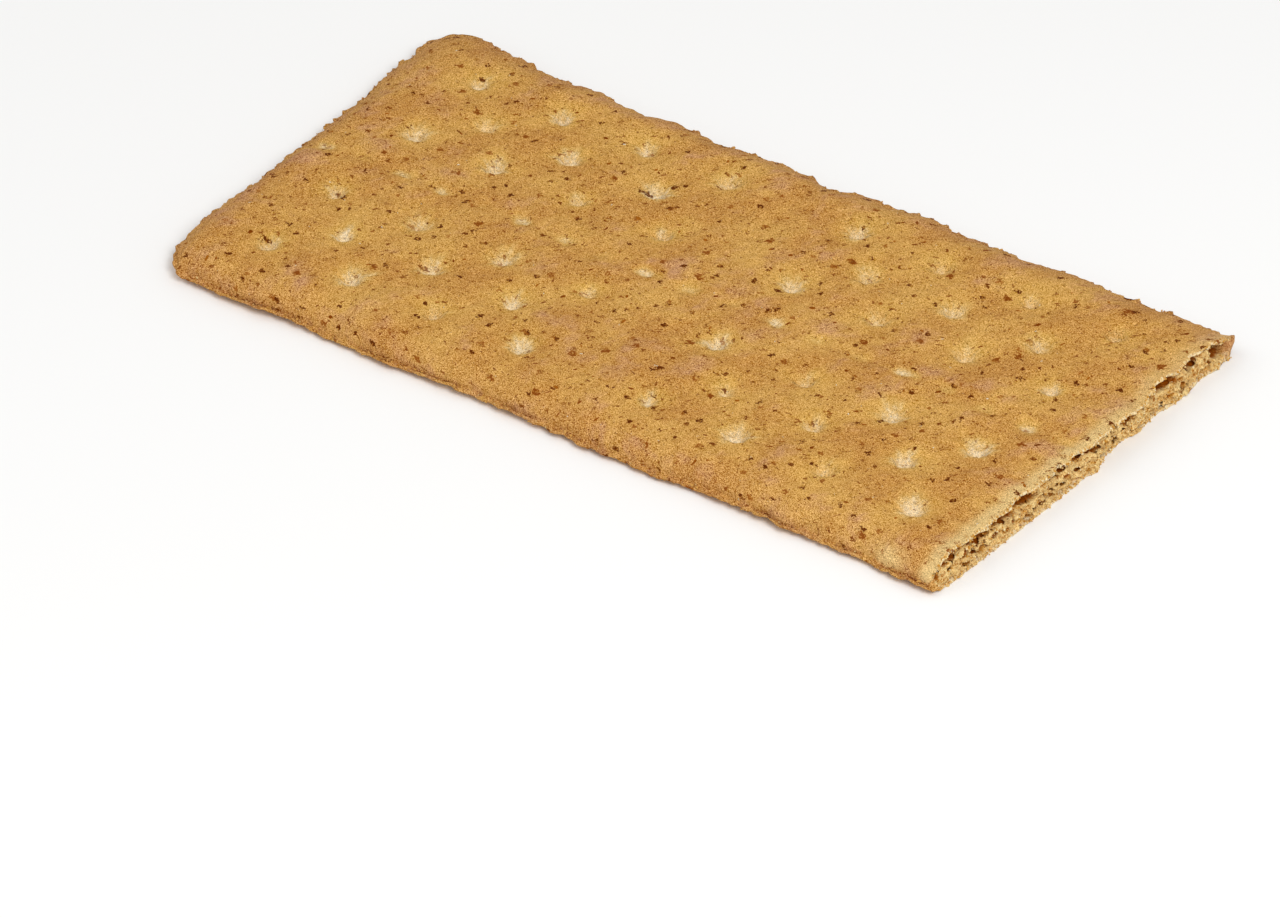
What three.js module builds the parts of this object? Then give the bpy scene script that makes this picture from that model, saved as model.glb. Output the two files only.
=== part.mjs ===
// A graham cracker: one thin baked sheet, docked with small holes and scored into four panels.
//
// It lies flat, with its smooth underside on z = 0. X runs along the sheet, from the pinched
// left end to the snapped right end, and Y runs across it. All sizes are in millimetres.
//
// The solid is worked out in a flat rectangle first. A grid of lines, closer together at every
// docker hole and score line, makes the top. Eight loops then run round its rim and go down the
// sides: over a pinched shoulder to a thin lip on three sides and back in under it, and down a
// torn, hollowed face on the snapped end. The last loop is filled as the flat underside. Two maps bend the
// rectangle's plan at the end: one rounds the pinched corners, the other makes the rim wander.

import * as THREE from 'three';

// ---- The sheet ----
const LENGTH = 125;
const WIDTH = 65;
const THICKNESS = 4.7;
const SNAPPED_THICKNESS = 4.2;
const THINNING_REACH = 16; // how far in from the snapped end the sheet gets thinner
const CORNER_RADIUS = 5.5;
const LIP_HEIGHT = 1.2; // the lip that the pinched edges run out to, over the table
const BACK_LIP_RISE = 1; // it curls up more along the back edge and the left end
const LEFT_LIP_RISE = 0.8;
const LIP_RISE_REACH = 8;
const SHOULDER_SCALES = { front: 1.8, back: 3, left: 2.6 }; // the top climbs as 1 - exp(-inset / scale)

// ---- Docker holes and score lines ----
const PATTERN_X = 1.4; // the cross score
const PATTERN_Y = -1.3; // the lengthwise score
const HOLE_PITCH_X = 13.4;
const HOLE_PITCH_Y = 14.8;
const FIRST_HOLE_X = 10.1; // from the cross score to the nearest column of holes
const FIRST_HOLE_Y = 8.1; // from the lengthwise score to the nearest row of holes
const COLUMNS_IN_PANEL = 4;
const ROWS_IN_PANEL = 2;
const HOLE_RADIUS = 1.5;
const HOLE_FLOOR_RADIUS = 0.6;
const HOLE_DEPTH = 1.4;
const DIMPLE_DEPTH = 0.4; // the skin sinks gently round each hole
const DIMPLE_SPREAD = 2.6;
const SCORE_DEPTH = 0.32;
const CROSS_SCORE_DEPTH = 0.2;
const SCORE_SPREAD = 0.9;
const STITCH_PITCH = 6.5; // short pressed dashes along the lengthwise score
const STITCH_DEPTH = 0.3;
const UNEVENNESS = 0.16; // low swells of the baked skin
const UNEVENNESS_SIZE = 11;

// ---- The grid ----
const HOLE_LINES = [-1.5, -0.5, 0.5, 1.5]; // grid lines through a hole, from its centre
const SCORE_LINES = [-2.1, -0.8, 0, 0.8, 2.1];
const PLAIN_GAP = 2.6; // wider gaps between lines are halved
const RIM_INSET = 3; // the grid stops here, in from the three pinched edges
const SNAPPED_RIM_INSET = 3.4; // and here, in from the snapped end

// ---- The rim: how far it wanders out from the rectangle, at places along each side ----
const BACK_RIM = [
  [-62, 0.4], [-54, 0.1], [-48, -0.4], [-43, -1.4], [-36, -0.9], [-28, -2.0], [-22, -1.1],
  [-17, -1.8], [-8, -0.8], [1, -1.8], [7, -0.8], [16, -0.1], [24, -0.9], [30, -1.0], [37, -0.5],
  [45, -0.7], [62, -0.3],
];
const FRONT_RIM = [
  [-62, 0.1], [-50, 0.5], [-38, 0], [-24, 0.5], [-10, 0.1], [4, 0.5], [15, 0], [22, 0.5],
  [33, 0.7], [38, 0], [48, 0.2], [62, -0.6],
];
const LEFT_RIM = [
  [-32, -1.8], [-27, -1.8], [-20, -1.5], [-10, -1.5], [5, -0.9], [16, -0.2], [25, 0.3], [32, 0.2],
];
const RIM_REACH = 8; // how far in from the rim the plan is bent with it
const GRAIN = 0.3; // short, sharp raggedness of the lip
const GRAIN_SIZE = 1.6;

// ---- The loops round the sides, from the grid's rim down to the underside ----
// On the pinched sides each loop lies at an inset from the rim. Its height is a share of the
// lip's height and some more, or worked out from the shoulder's curve where no share is given.
// A crease runs just above the thin, ragged lip, and the underside curls up to it.
const PINCHED_LOOPS = [
  { inset: RIM_INSET },
  { inset: 1.9 },
  { inset: 1.1 },
  { inset: 0.65 },
  { inset: 0.5, lip: 1, above: 0.15, grain: 0.5 },
  { inset: 0, lip: 1, above: -0.1, grain: 1 },
  { inset: 0.1, lip: 1, above: -0.4, grain: 1 },
  { inset: 1, lip: 0.35, above: 0, grain: 0.3 },
  { inset: 2.6, lip: 0, above: 0 },
];
// On the snapped end the top skin breaks off in a jagged line, flat hollows run in under it,
// and crumb fills the rest down to a thin bottom skin that stands a little proud.
const SNAPPED_LOOPS = [
  { inset: SNAPPED_RIM_INSET, below: 0 },
  { inset: 1, below: 0, jag: 1 },
  { inset: 1.1, below: 0.5, jag: 1 },
  { inset: 1.2, below: 0.8, jag: 0.6, hollow: 1 },
  { inset: 0.7, below: 1.6, crumb: 1 },
  { inset: 0.8, height: 1.5, crumb: 1 },
  { inset: 0.1, height: 0.6, crumb: 0.5 },
  { inset: 0.3, height: 0, crumb: 0.3 },
  { inset: 1.5, height: 0 },
];
const JAG = 0.8;
const JAG_SIZE = 3.2;
const HOLLOW_DEPTH = 1.5;
const HOLLOW_SIZE = 4.6;
const HOLLOW_SHARE = 0.35; // more than 0: hollows take up more of the edge than solid crumb does
const CRUMB_ROUGHNESS = 0.45;
const CRUMB_SIZE = 2.3;
const SLANT = 1.0; // the top skin's edge is this much further in at the front than at the back
const NOISE_ROW = { jag: 3.5, fineJag: 8.5, hollow: 21.5, crumb: 31 }; // keep the patterns apart

const CRUST = { color: '#c0914f', roughness: 0.78, metalness: 0 };

// ---- Small helpers ----
const clamp01 = (t) => Math.min(1, Math.max(0, t));
const ease = (t) => clamp01(t) ** 2 * (3 - 2 * clamp01(t));
const mix = (a, b, t) => a + (b - a) * t;
const bell = (distance, spread) => Math.exp(-0.5 * (distance / spread) ** 2);

// A repeatable random number from 0 to 1 for each whole-numbered place.
function chance(i, j) {
  const wave = Math.sin(i * 127.1 + j * 311.7 + 74.7) * 43758.5453;
  return wave - Math.floor(wave);
}

// Smooth noise from -1 to 1, which changes over a distance of about 1.
function noise(x, y) {
  const i = Math.floor(x);
  const j = Math.floor(y);
  const u = ease(x - i);
  const v = ease(y - j);
  const near = mix(chance(i, j), chance(i + 1, j), u);
  const far = mix(chance(i, j + 1), chance(i + 1, j + 1), u);
  return 2 * mix(near, far, v) - 1;
}

// The value at a place along a list of [place, value], eased from one entry to the next.
function along(list, place) {
  const next = list.findIndex(([at]) => at >= place);
  if (next < 0) return list[list.length - 1][1];
  if (next === 0) return list[0][1];
  const [from, before] = list[next - 1];
  const [to, after] = list[next];
  return mix(before, after, ease((place - from) / (to - from)));
}

// ---- The top of the sheet ----

// The holes of each panel: its full columns and rows, and one more between every four.
function holeCentres() {
  const holes = [];
  for (const sideX of [-1, 1]) {
    for (const sideY of [-1, 1]) {
      for (let column = 0; column < COLUMNS_IN_PANEL; column += 1) {
        const x = FIRST_HOLE_X + column * HOLE_PITCH_X;
        for (let row = 0; row < ROWS_IN_PANEL; row += 1) {
          const y = FIRST_HOLE_Y + row * HOLE_PITCH_Y;
          holes.push([PATTERN_X + sideX * x, PATTERN_Y + sideY * y]);
          if (column + 1 < COLUMNS_IN_PANEL && row + 1 < ROWS_IN_PANEL) {
            const between = [x + HOLE_PITCH_X / 2, y + HOLE_PITCH_Y / 2];
            holes.push([PATTERN_X + sideX * between[0], PATTERN_Y + sideY * between[1]]);
          }
        }
      }
    }
  }
  return holes;
}

const HOLES = holeCentres();

const pinchedInset = (x, y) => Math.min(x + LENGTH / 2, WIDTH / 2 - Math.abs(y));

function lipHeight(x, y) {
  const back = ease(1 - (WIDTH / 2 - y) / LIP_RISE_REACH);
  const left = ease(1 - (LENGTH / 2 + x) / LIP_RISE_REACH);
  return LIP_HEIGHT + Math.max(BACK_LIP_RISE * back, LEFT_LIP_RISE * left);
}

function shoulderHeight(x, y, full) {
  const back = ease(1 - (WIDTH / 2 - y) / LIP_RISE_REACH);
  const left = ease(1 - (LENGTH / 2 + x) / LIP_RISE_REACH);
  const scale = mix(mix(SHOULDER_SCALES.front, SHOULDER_SCALES.left, left), SHOULDER_SCALES.back, back);
  return mix(lipHeight(x, y), full, 1 - Math.exp(-pinchedInset(x, y) / scale));
}

// The height of the skin over a place in the flat rectangle.
function topHeight(x, y) {
  const thinning = ease((x - LENGTH / 2 + THINNING_REACH) / THINNING_REACH);
  let z = shoulderHeight(x, y, mix(THICKNESS, SNAPPED_THICKNESS, thinning));
  z += UNEVENNESS * noise(x / UNEVENNESS_SIZE, y / UNEVENNESS_SIZE);
  for (const [holeX, holeY] of HOLES) {
    const away = Math.hypot(x - holeX, y - holeY);
    const sunk = clamp01((HOLE_RADIUS - away) / (HOLE_RADIUS - HOLE_FLOOR_RADIUS));
    z -= DIMPLE_DEPTH * bell(away, DIMPLE_SPREAD) + HOLE_DEPTH * sunk;
  }
  const stitch = 0.5 + 0.5 * Math.cos((2 * Math.PI * (x - PATTERN_X)) / STITCH_PITCH);
  z -= (SCORE_DEPTH + STITCH_DEPTH * stitch) * bell(y - PATTERN_Y, SCORE_SPREAD);
  z -= CROSS_SCORE_DEPTH * bell(x - PATTERN_X, SCORE_SPREAD);
  return z;
}

// Grid lines between two limits: round each hole and score, and between them where gaps are wide.
function gridLines(low, high, holePlaces, scorePlace) {
  const places = [low, high];
  for (const place of new Set(holePlaces)) {
    places.push(...HOLE_LINES.map((offset) => place + offset));
  }
  places.push(...SCORE_LINES.map((offset) => scorePlace + offset));
  places.sort((a, b) => a - b);
  const lines = [];
  places.forEach((place, index) => {
    lines.push(place);
    if (index + 1 === places.length) return;
    const gap = places[index + 1] - place;
    const parts = Math.ceil(gap / PLAIN_GAP);
    for (let part = 1; part < parts; part += 1) {
      lines.push(place + (gap * part) / parts);
    }
  });
  return lines;
}

const roundedPlace = (value) => Math.round(value * 1000) / 1000;
const LINES_X = gridLines(
  -LENGTH / 2 + RIM_INSET,
  LENGTH / 2 - SNAPPED_RIM_INSET,
  HOLES.map(([x]) => roundedPlace(x)),
  PATTERN_X,
);
const LINES_Y = gridLines(
  -WIDTH / 2 + RIM_INSET,
  WIDTH / 2 - RIM_INSET,
  HOLES.map(([, y]) => roundedPlace(y)),
  PATTERN_Y,
);

// ---- From the flat rectangle to the real plan ----

// Rounds the two pinched corners: squares about the corner's centre become circles.
function roundCorner(x, y) {
  const centreX = -LENGTH / 2 + CORNER_RADIUS;
  const centreY = WIDTH / 2 - CORNER_RADIUS;
  const a = centreX - x;
  const b = Math.abs(y) - centreY;
  if (a <= 0 || b <= 0) return [x, y];
  const shrink = Math.max(a, b) / Math.hypot(a, b);
  return [centreX - a * shrink, Math.sign(y) * (centreY + b * shrink)];
}

// Makes the rim wander, and carries the sheet's outer few millimetres with it.
function planPlace(x, y, grain) {
  const [roundX, roundY] = roundCorner(x, y);
  const back = ease(1 - (WIDTH / 2 - y) / RIM_REACH);
  const front = ease(1 - (WIDTH / 2 + y) / RIM_REACH);
  const left = ease(1 - (LENGTH / 2 + x) / RIM_REACH);
  const ragged = grain * GRAIN * noise(roundX / GRAIN_SIZE, roundY / GRAIN_SIZE);
  const outX = -left * (along(LEFT_RIM, y) + ragged);
  const outY = back * (along(BACK_RIM, x) + ragged) - front * (along(FRONT_RIM, x) + ragged);
  return [roundX + outX, roundY + outY];
}

// ---- The loops round the rim ----

// The places on the grid's rim, anticlockwise from the front left corner, each with its way out.
function rimPlaces() {
  const left = LINES_X[0];
  const right = LINES_X[LINES_X.length - 1];
  const front = LINES_Y[0];
  const back = LINES_Y[LINES_Y.length - 1];
  const rim = [];
  LINES_X.forEach((x) => rim.push({ x, y: front, outX: 0, outY: -1 }));
  LINES_Y.slice(1).forEach((y) => rim.push({ x: right, y, outX: 1, outY: 0 }));
  LINES_X.slice(0, -1).reverse().forEach((x) => rim.push({ x, y: back, outX: 0, outY: 1 }));
  LINES_Y.slice(1, -1).reverse().forEach((y) => rim.push({ x: left, y, outX: -1, outY: 0 }));
  for (const place of rim) {
    if (place.x === left) place.outX = -1;
    if (place.x === right) place.outX = 1;
    if (place.y === front) place.outY = -1;
    if (place.y === back) place.outY = 1;
  }
  return rim;
}

// How far in from the snapped end a loop's torn edge lies, at a place across the sheet.
function tornInset(loop, y) {
  const slant = SLANT * (0.5 - y / WIDTH);
  const coarse = noise(y / JAG_SIZE, NOISE_ROW.jag);
  const fine = noise(y / GRAIN_SIZE, NOISE_ROW.fineJag);
  const jag = JAG * (coarse + fine / 2);
  // The hollows are deepest towards the back.
  const emptiness = HOLLOW_SHARE + noise(y / HOLLOW_SIZE, NOISE_ROW.hollow) + y / WIDTH;
  const hollow = HOLLOW_DEPTH * clamp01(emptiness);
  const crumb = CRUMB_ROUGHNESS * noise(y / CRUMB_SIZE, loop.inset * NOISE_ROW.crumb);
  const edge = loop.inset + (loop.jag ?? 0) * (jag + slant);
  return Math.max(0, edge + (loop.hollow ?? 0) * hollow + (loop.crumb ?? 0) * crumb);
}

// One place of the rim, moved out and down to a loop. It spreads towards the corners on the way.
function loopPlace(place, index) {
  const pinched = PINCHED_LOOPS[index];
  const snapped = SNAPPED_LOOPS[index];
  const outward = RIM_INSET - pinched.inset;
  const nearLeft = clamp01(1 - (place.x - LINES_X[0]) / RIM_REACH);
  const nearFront = clamp01(1 - (place.y - LINES_Y[0]) / RIM_REACH);
  const nearBack = clamp01(1 - (LINES_Y[LINES_Y.length - 1] - place.y) / RIM_REACH);
  const y = place.y + outward * (nearBack - nearFront);
  const atSnappedEnd = place.outX > 0;
  const x = atSnappedEnd ? LENGTH / 2 - tornInset(snapped, y) : place.x - outward * nearLeft;
  const [planX, planY] = planPlace(x, y, pinched.grain ?? 0);
  if (index === 0) return [planX, planY, topHeight(place.x, place.y)];
  if (atSnappedEnd && place.outY === 0) {
    const height = snapped.height ?? topHeight(x, y) - snapped.below;
    return [planX, planY, height];
  }
  if (pinched.lip === undefined) return [planX, planY, topHeight(x, y)];
  return [planX, planY, Math.max(0, pinched.lip * lipHeight(x, y) + pinched.above)];
}

// ---- The solid ----
function crackerGeometry() {
  const vertices = [];
  const triangles = [];
  const columns = LINES_X.length;
  const rows = LINES_Y.length;

  LINES_Y.forEach((y) => {
    LINES_X.forEach((x) => vertices.push([...planPlace(x, y, 0), topHeight(x, y)]));
  });
  const gridIndex = (column, row) => row * columns + column;
  for (let row = 0; row + 1 < rows; row += 1) {
    for (let column = 0; column + 1 < columns; column += 1) {
      const a = gridIndex(column, row);
      const b = gridIndex(column + 1, row);
      const c = gridIndex(column + 1, row + 1);
      const d = gridIndex(column, row + 1);
      // The diagonal joins the lower two corners, so that it points into the holes.
      const lowerAC = vertices[a][2] + vertices[c][2] < vertices[b][2] + vertices[d][2];
      triangles.push(...(lowerAC ? [[a, b, c], [a, c, d]] : [[a, b, d], [b, c, d]]));
    }
  }

  const rim = rimPlaces();
  let upper = rim.map(({ x, y }) => gridIndex(LINES_X.indexOf(x), LINES_Y.indexOf(y)));
  for (let index = 1; index < PINCHED_LOOPS.length; index += 1) {
    const first = vertices.length;
    rim.forEach((place) => vertices.push(loopPlace(place, index)));
    const lower = rim.map((_, step) => first + step);
    rim.forEach((_, step) => {
      const next = (step + 1) % rim.length;
      triangles.push([upper[step], lower[step], lower[next]]);
      triangles.push([upper[step], lower[next], upper[next]]);
    });
    upper = lower;
  }

  const outline = upper.map((vertex) => new THREE.Vector2(vertices[vertex][0], vertices[vertex][1]));
  for (const [a, b, c] of THREE.ShapeUtils.triangulateShape(outline, [])) {
    triangles.push([upper[a], upper[c], upper[b]]);
  }

  const geometry = new THREE.BufferGeometry();
  geometry.setAttribute('position', new THREE.Float32BufferAttribute(vertices.flat(), 3));
  geometry.setIndex(triangles.flat());
  geometry.computeVertexNormals();
  return geometry;
}

const cracker = new THREE.Mesh(crackerGeometry(), new THREE.MeshStandardMaterial(CRUST));
cracker.name = 'cracker';

const group = new THREE.Group();
group.add(cracker);

export default group;
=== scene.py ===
# %% [markdown]
# # A graham cracker
#
# This lesson dresses one baked cracker: a thin sheet with pinched edges on three sides, docked with
# small holes, scored into four panels, and snapped off at one end. The CAD solid gives its size and
# its main shape. Here it gets what baking gives it: a crust with fine relief, open crumb where it
# broke, flaky lips and specks of bran. All sizes below are in millimetres until a mesh is written.

# %% Load the frame
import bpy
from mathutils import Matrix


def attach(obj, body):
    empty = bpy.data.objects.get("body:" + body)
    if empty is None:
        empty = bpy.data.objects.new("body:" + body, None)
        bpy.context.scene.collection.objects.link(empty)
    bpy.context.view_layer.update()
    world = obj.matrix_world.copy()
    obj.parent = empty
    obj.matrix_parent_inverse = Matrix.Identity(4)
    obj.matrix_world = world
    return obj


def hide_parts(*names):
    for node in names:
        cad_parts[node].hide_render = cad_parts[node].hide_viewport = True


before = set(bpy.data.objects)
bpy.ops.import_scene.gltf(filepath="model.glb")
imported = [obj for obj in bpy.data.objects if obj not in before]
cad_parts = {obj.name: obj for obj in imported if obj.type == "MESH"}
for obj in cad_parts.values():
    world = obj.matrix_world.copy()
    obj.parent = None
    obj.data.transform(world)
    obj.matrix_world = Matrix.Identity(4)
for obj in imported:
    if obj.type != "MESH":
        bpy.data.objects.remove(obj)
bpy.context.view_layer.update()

# %% Tools
import math

import bpy
import numpy as np
import openvdb
from mathutils import Matrix

MM = 0.001  # metres in a millimetre

# %% [markdown]
# ## The camera
#
# A long lens far away was fitted to the straight edges of the photographed cracker. It could be
# placed by eye, but then every later comparison would be off by a little. Here its three angles, its
# distance and its aim are plain numbers, and the rest follows from them.

# %% Camera
AZIMUTH = math.radians(36.372)
ELEVATION = math.radians(34.931)
ROLL = math.radians(-0.564)
FOCAL_PIXELS = 11763.9
IMAGE_WIDTH_PIXELS = 1280
SENSOR_WIDTH = 36
CAMERA_DISTANCE = 1500
AIM = np.array((0.8, -0.6, 4.7))
AIM_RIGHT = 6.294  # how far the aim lies from the middle of the picture
AIM_UP = 22.448


def camera_axes():
    """The camera's right, up and backward directions."""
    backward = np.array((
        math.sin(AZIMUTH) * math.cos(ELEVATION),
        -math.cos(AZIMUTH) * math.cos(ELEVATION),
        math.sin(ELEVATION),
    ))
    level = np.array((math.cos(AZIMUTH), math.sin(AZIMUTH), 0))
    upright = np.cross(backward, level)
    right = math.cos(ROLL) * level + math.sin(ROLL) * upright
    up = math.cos(ROLL) * upright - math.sin(ROLL) * level
    return right, up, backward


def add_camera():
    right, up, backward = camera_axes()
    place = AIM - AIM_RIGHT * right - AIM_UP * up + CAMERA_DISTANCE * backward
    lens = bpy.data.cameras.new("photo_camera")
    lens.sensor_width = SENSOR_WIDTH
    lens.lens = FOCAL_PIXELS / IMAGE_WIDTH_PIXELS * SENSOR_WIDTH
    lens.clip_start = 0.1
    lens.clip_end = 10
    camera = bpy.data.objects.new("photo_camera", lens)
    matrix = np.identity(4)
    matrix[:3, 0] = right
    matrix[:3, 1] = up
    matrix[:3, 2] = backward
    matrix[:3, 3] = place * MM
    camera.matrix_world = Matrix(matrix.tolist())
    bpy.context.scene.collection.objects.link(camera)
    bpy.context.scene.camera = camera
    return camera


camera = add_camera()
print("camera at, m:", tuple(round(value, 3) for value in camera.location))

# %% [markdown]
# ## Random but repeatable
#
# Baked dough is uneven at every scale. Random numbers for each point would give sharp static, so the
# unevenness comes from smooth noise: slopes at the corners of an unseen lattice, blended in between.
# The seed is fixed, so each run gives the same cracker.

# %% Noise and easing
LATTICE = 256
SEED_STEP = 37.7  # how far apart in the lattice the seeds start
LINE_SEED_SHIFT = 0.37
NOISE_GAIN = 1.7  # brings the sum of slopes to about -1 to 1
lattice_random = np.random.default_rng(11)
LATTICE_ORDER = lattice_random.permutation(LATTICE)
LATTICE_SLOPES = lattice_random.normal(size=(LATTICE, 3))
LATTICE_SLOPES /= np.linalg.norm(LATTICE_SLOPES, axis=1, keepdims=True)


def noise(points, size, seed):
    """Smooth noise from about -1 to 1 at each of the points, which changes over about one size."""
    place = np.asarray(points, float) / size + SEED_STEP * seed
    cell = np.floor(place).astype(int)
    inside = place - cell
    fade = inside ** 3 * (inside * (inside * 6 - 15) + 10)
    total = np.zeros(len(place))
    for corner in np.ndindex(2, 2, 2):
        lattice = (cell + corner) % LATTICE
        order = LATTICE_ORDER[lattice[:, 0]]
        order = LATTICE_ORDER[(order + lattice[:, 1]) % LATTICE]
        order = LATTICE_ORDER[(order + lattice[:, 2]) % LATTICE]
        rise = np.einsum("ij,ij->i", LATTICE_SLOPES[order], inside - corner)
        weight = np.prod(np.where(corner, fade, 1 - fade), axis=1)
        total += weight * rise
    return NOISE_GAIN * total


def line_noise(along_line, size, seed):
    """The same, along a line."""
    points = np.zeros((len(along_line), 3))
    points[:, 0] = along_line
    return noise(points, size, seed + LINE_SEED_SHIFT)


def ease(amount):
    """0 up to 0, 1 from 1 on, and smooth in between."""
    amount = np.clip(amount, 0, 1)
    return amount * amount * (3 - 2 * amount)


def mix(first, second, amount):
    return first + (second - first) * amount


def bell(distance, spread):
    """1 at no distance, and fading as a bell curve does."""
    return np.exp(-0.5 * (distance / spread) ** 2)


def along(pairs, place):
    """The value at each place on a list of (place, value), eased from one pair to the next."""
    spots = np.array([spot for spot, _ in pairs], float)
    values = np.array([value for _, value in pairs], float)
    step = np.clip(np.searchsorted(spots, place) - 1, 0, len(spots) - 2)
    share = (place - spots[step]) / (spots[step + 1] - spots[step])
    return mix(values[step], values[step + 1], ease(share))


def mostly_small(random, count, low, high, power):
    """Random sizes from low to high, of which more are small the higher the power is."""
    return low + (high - low) * random.random(count) ** power


sample_noise = noise(np.random.default_rng(1).uniform(0, 50, (500, 3)), 3, 1)
print("noise from", sample_noise.min().round(2), "to", sample_noise.max().round(2))

# %% [markdown]
# ## The sheet's measures
#
# These repeat the measures of the CAD solid: the size, the pattern of holes and score lines, and how
# far the rim wanders in and out along each side, which is followed a little more finely here. The
# cracker is worked out in a flat rectangle, and is bent to its real outline at the end, so the
# formulas stay simple.

# %% Measures
LENGTH = 125
WIDTH = 65
HALF_LENGTH = LENGTH / 2
HALF_WIDTH = WIDTH / 2
THICKNESS = 4.7
SNAPPED_THICKNESS = 4.2
THINNING_REACH = 16
CORNER_RADIUS = 5.5
LIP_HEIGHT = 1.2  # where the skin's shoulder meets the lip
LIP_RISE = {"back": 1.0, "left": 0.8}  # the sheet curls up a little there
LIP_RISE_REACH = 8
SHOULDER_SCALES = {"front": 1.8, "back": 3.0, "left": 2.6}  # the skin climbs as 1 - exp(-inset / scale)

PATTERN_X = 1.4
PATTERN_Y = -1.3
HOLE_PITCH_X = 13.4
HOLE_PITCH_Y = 14.8
FIRST_HOLE_X = 10.1
FIRST_HOLE_Y = 8.1
COLUMNS_IN_PANEL = 4
ROWS_IN_PANEL = 2
STITCH_PITCH = 6.5

BACK_RIM = [
    (-62, 0.9), (-58, 0.9), (-56, 0.7), (-54, 0), (-51, -0.3), (-48, -0.3), (-46, -1.3), (-42, -1.4),
    (-36, -0.9), (-33, -1.7), (-30, -2.1), (-28, -2), (-26, -1.3), (-24, -1), (-22, -1.4), (-20, -1.3),
    (-16, -1.9), (-14, -1.25), (-8, -0.95), (-6, -1.15), (-2, -1.25), (0, -1.85), (4, -1.6), (6, -0.9),
    (8, -0.7), (10, -1.1), (12, -0.4), (14, -0.5), (16, 0.1), (18, -0.5), (20, -1.05), (24, -0.65),
    (26, -0.9), (28, -0.45), (32, -1.35), (34, -0.7), (38, -0.25), (42, -0.4), (44, -0.55), (46, -1.05),
    (50, -0.5), (52, -0.55), (54, -0.1), (58, -0.35), (62, -0.3),
]
FRONT_RIM = [
    (-62, 0.1), (-50, 0.5), (-38, 0), (-24, 0.5), (-10, 0.1), (4, 0.5), (8, 0.8), (12, 0.8), (15, 0.85),
    (18, 0.95), (20, 0.85), (23, 0.65), (26, 0.5), (30, 0.6), (33, 0.7), (36, 0.35), (37.5, 0.85),
    (39.5, 0.9), (41.5, 0.5), (45, 0.9), (49, 0.6), (51.5, 0.8), (54, 1.1), (58, 1), (60, 1),
    (62, 1.15),
]
LEFT_RIM = [
    (-32, -1.9), (-27, -1.95), (-23.5, -1.45), (-21, -1.6), (-18, -1.35), (-13, -1.75), (-8, -1.5),
    (-3, -0.95), (3, -1), (6, -1.05), (12, -0.65), (18, 0.1), (21, 0.35), (24, -0.1), (27.5, 0.5),
    (32, 0.3),
]
RIM_REACH = 8

# The two torn edges at the snapped end, as (y, distance out past the end of the rectangle).
TOP_TEAR = [
    (-33, -1.7), (-30, -1.5), (-27, -1.2), (-25, -0.9), (-23.5, -1.15), (-22, -0.95), (-19, -0.9),
    (-17, -0.8), (-15, -1.1), (-13.6, -1.05), (-12, -0.3), (-10, -0.6), (-8, -0.4), (-6.5, -0.9),
    (-5, -0.1), (-3, -0.6), (-1, -0.3), (0.5, 0.2), (2.5, 0.2), (5, 0), (7.5, 0.1), (9.5, 0.5),
    (11, 0.3), (12.3, -0.1), (14, -0.4), (16, -0.7), (18, -0.9), (19.3, -0.4), (21.5, -0.6),
    (23, -0.8), (25, -0.7), (27, -0.4), (29, 0), (31, -0.2), (33, -0.3),
]
BOTTOM_TEAR = [
    (-33, -0.7), (-25, -0.3), (-21, -0.2), (-14, 0), (-8, 0.1), (-1.5, 0.2), (0.3, 0.7), (2, 0),
    (4, -0.4), (7, -0.6), (10.5, -0.1), (15, -0.3), (19.5, 0.3), (25, -0.1), (28, 0.3), (31, 0.2),
    (33, 0),
]
TOP_JAGS = ((1.3, 0.3, 41), (0.55, 0.16, 42))  # size, reach, seed
BOTTOM_JAGS = ((1.7, 0.25, 43), (0.6, 0.12, 44))


def hole_centres():
    """The holes of the four panels: full columns and rows, and one between every four."""
    places = []
    for side_x in (-1, 1):
        for side_y in (-1, 1):
            for column in range(COLUMNS_IN_PANEL):
                for row in range(ROWS_IN_PANEL):
                    spot = [(column, row)]
                    if column + 1 < COLUMNS_IN_PANEL and row + 1 < ROWS_IN_PANEL:
                        spot.append((column + 0.5, row + 0.5))
                    for step_x, step_y in spot:
                        x = PATTERN_X + side_x * (FIRST_HOLE_X + step_x * HOLE_PITCH_X)
                        y = PATTERN_Y + side_y * (FIRST_HOLE_Y + step_y * HOLE_PITCH_Y)
                        places.append((x, y))
    return np.array(places)


HOLES = hole_centres()
HOLE_STRAY = 0.16  # the pins were never quite in line
LEAN, LEAN_SPREAD = 108, 14  # the way that the pins came out, in degrees
hole_random = np.random.default_rng(5)
HOLE_CENTRES = HOLES + hole_random.normal(0, HOLE_STRAY, HOLES.shape)
HOLE_RADII = hole_random.uniform(1.3, 2.1, len(HOLES))
HOLE_DEPTHS = hole_random.uniform(0.8, 1.65, len(HOLES))
HOLE_LEANS = np.radians(hole_random.normal(LEAN, LEAN_SPREAD, len(HOLES)))
PINHOLE_DEPTHS = mostly_small(hole_random, len(HOLES), 0, 1.5, 1.5)
HOLE_PALENESS = hole_random.uniform(0.55, 1, len(HOLES))
print(len(HOLES), "docker holes")

# %% [markdown]
# ## The skin's height
#
# The skin climbs from the pinched lip over a round shoulder, sinks a little round each docker hole
# and along the two score lines, and is uneven all over. The dough dried in the oven while the pins'
# holes closed again, so each hole is a funnel with creased walls and a pinhole at its bottom, not a
# clean bore. Sculpting 44 of them by hand would take hours. A formula does them all, each a little
# different.

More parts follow.
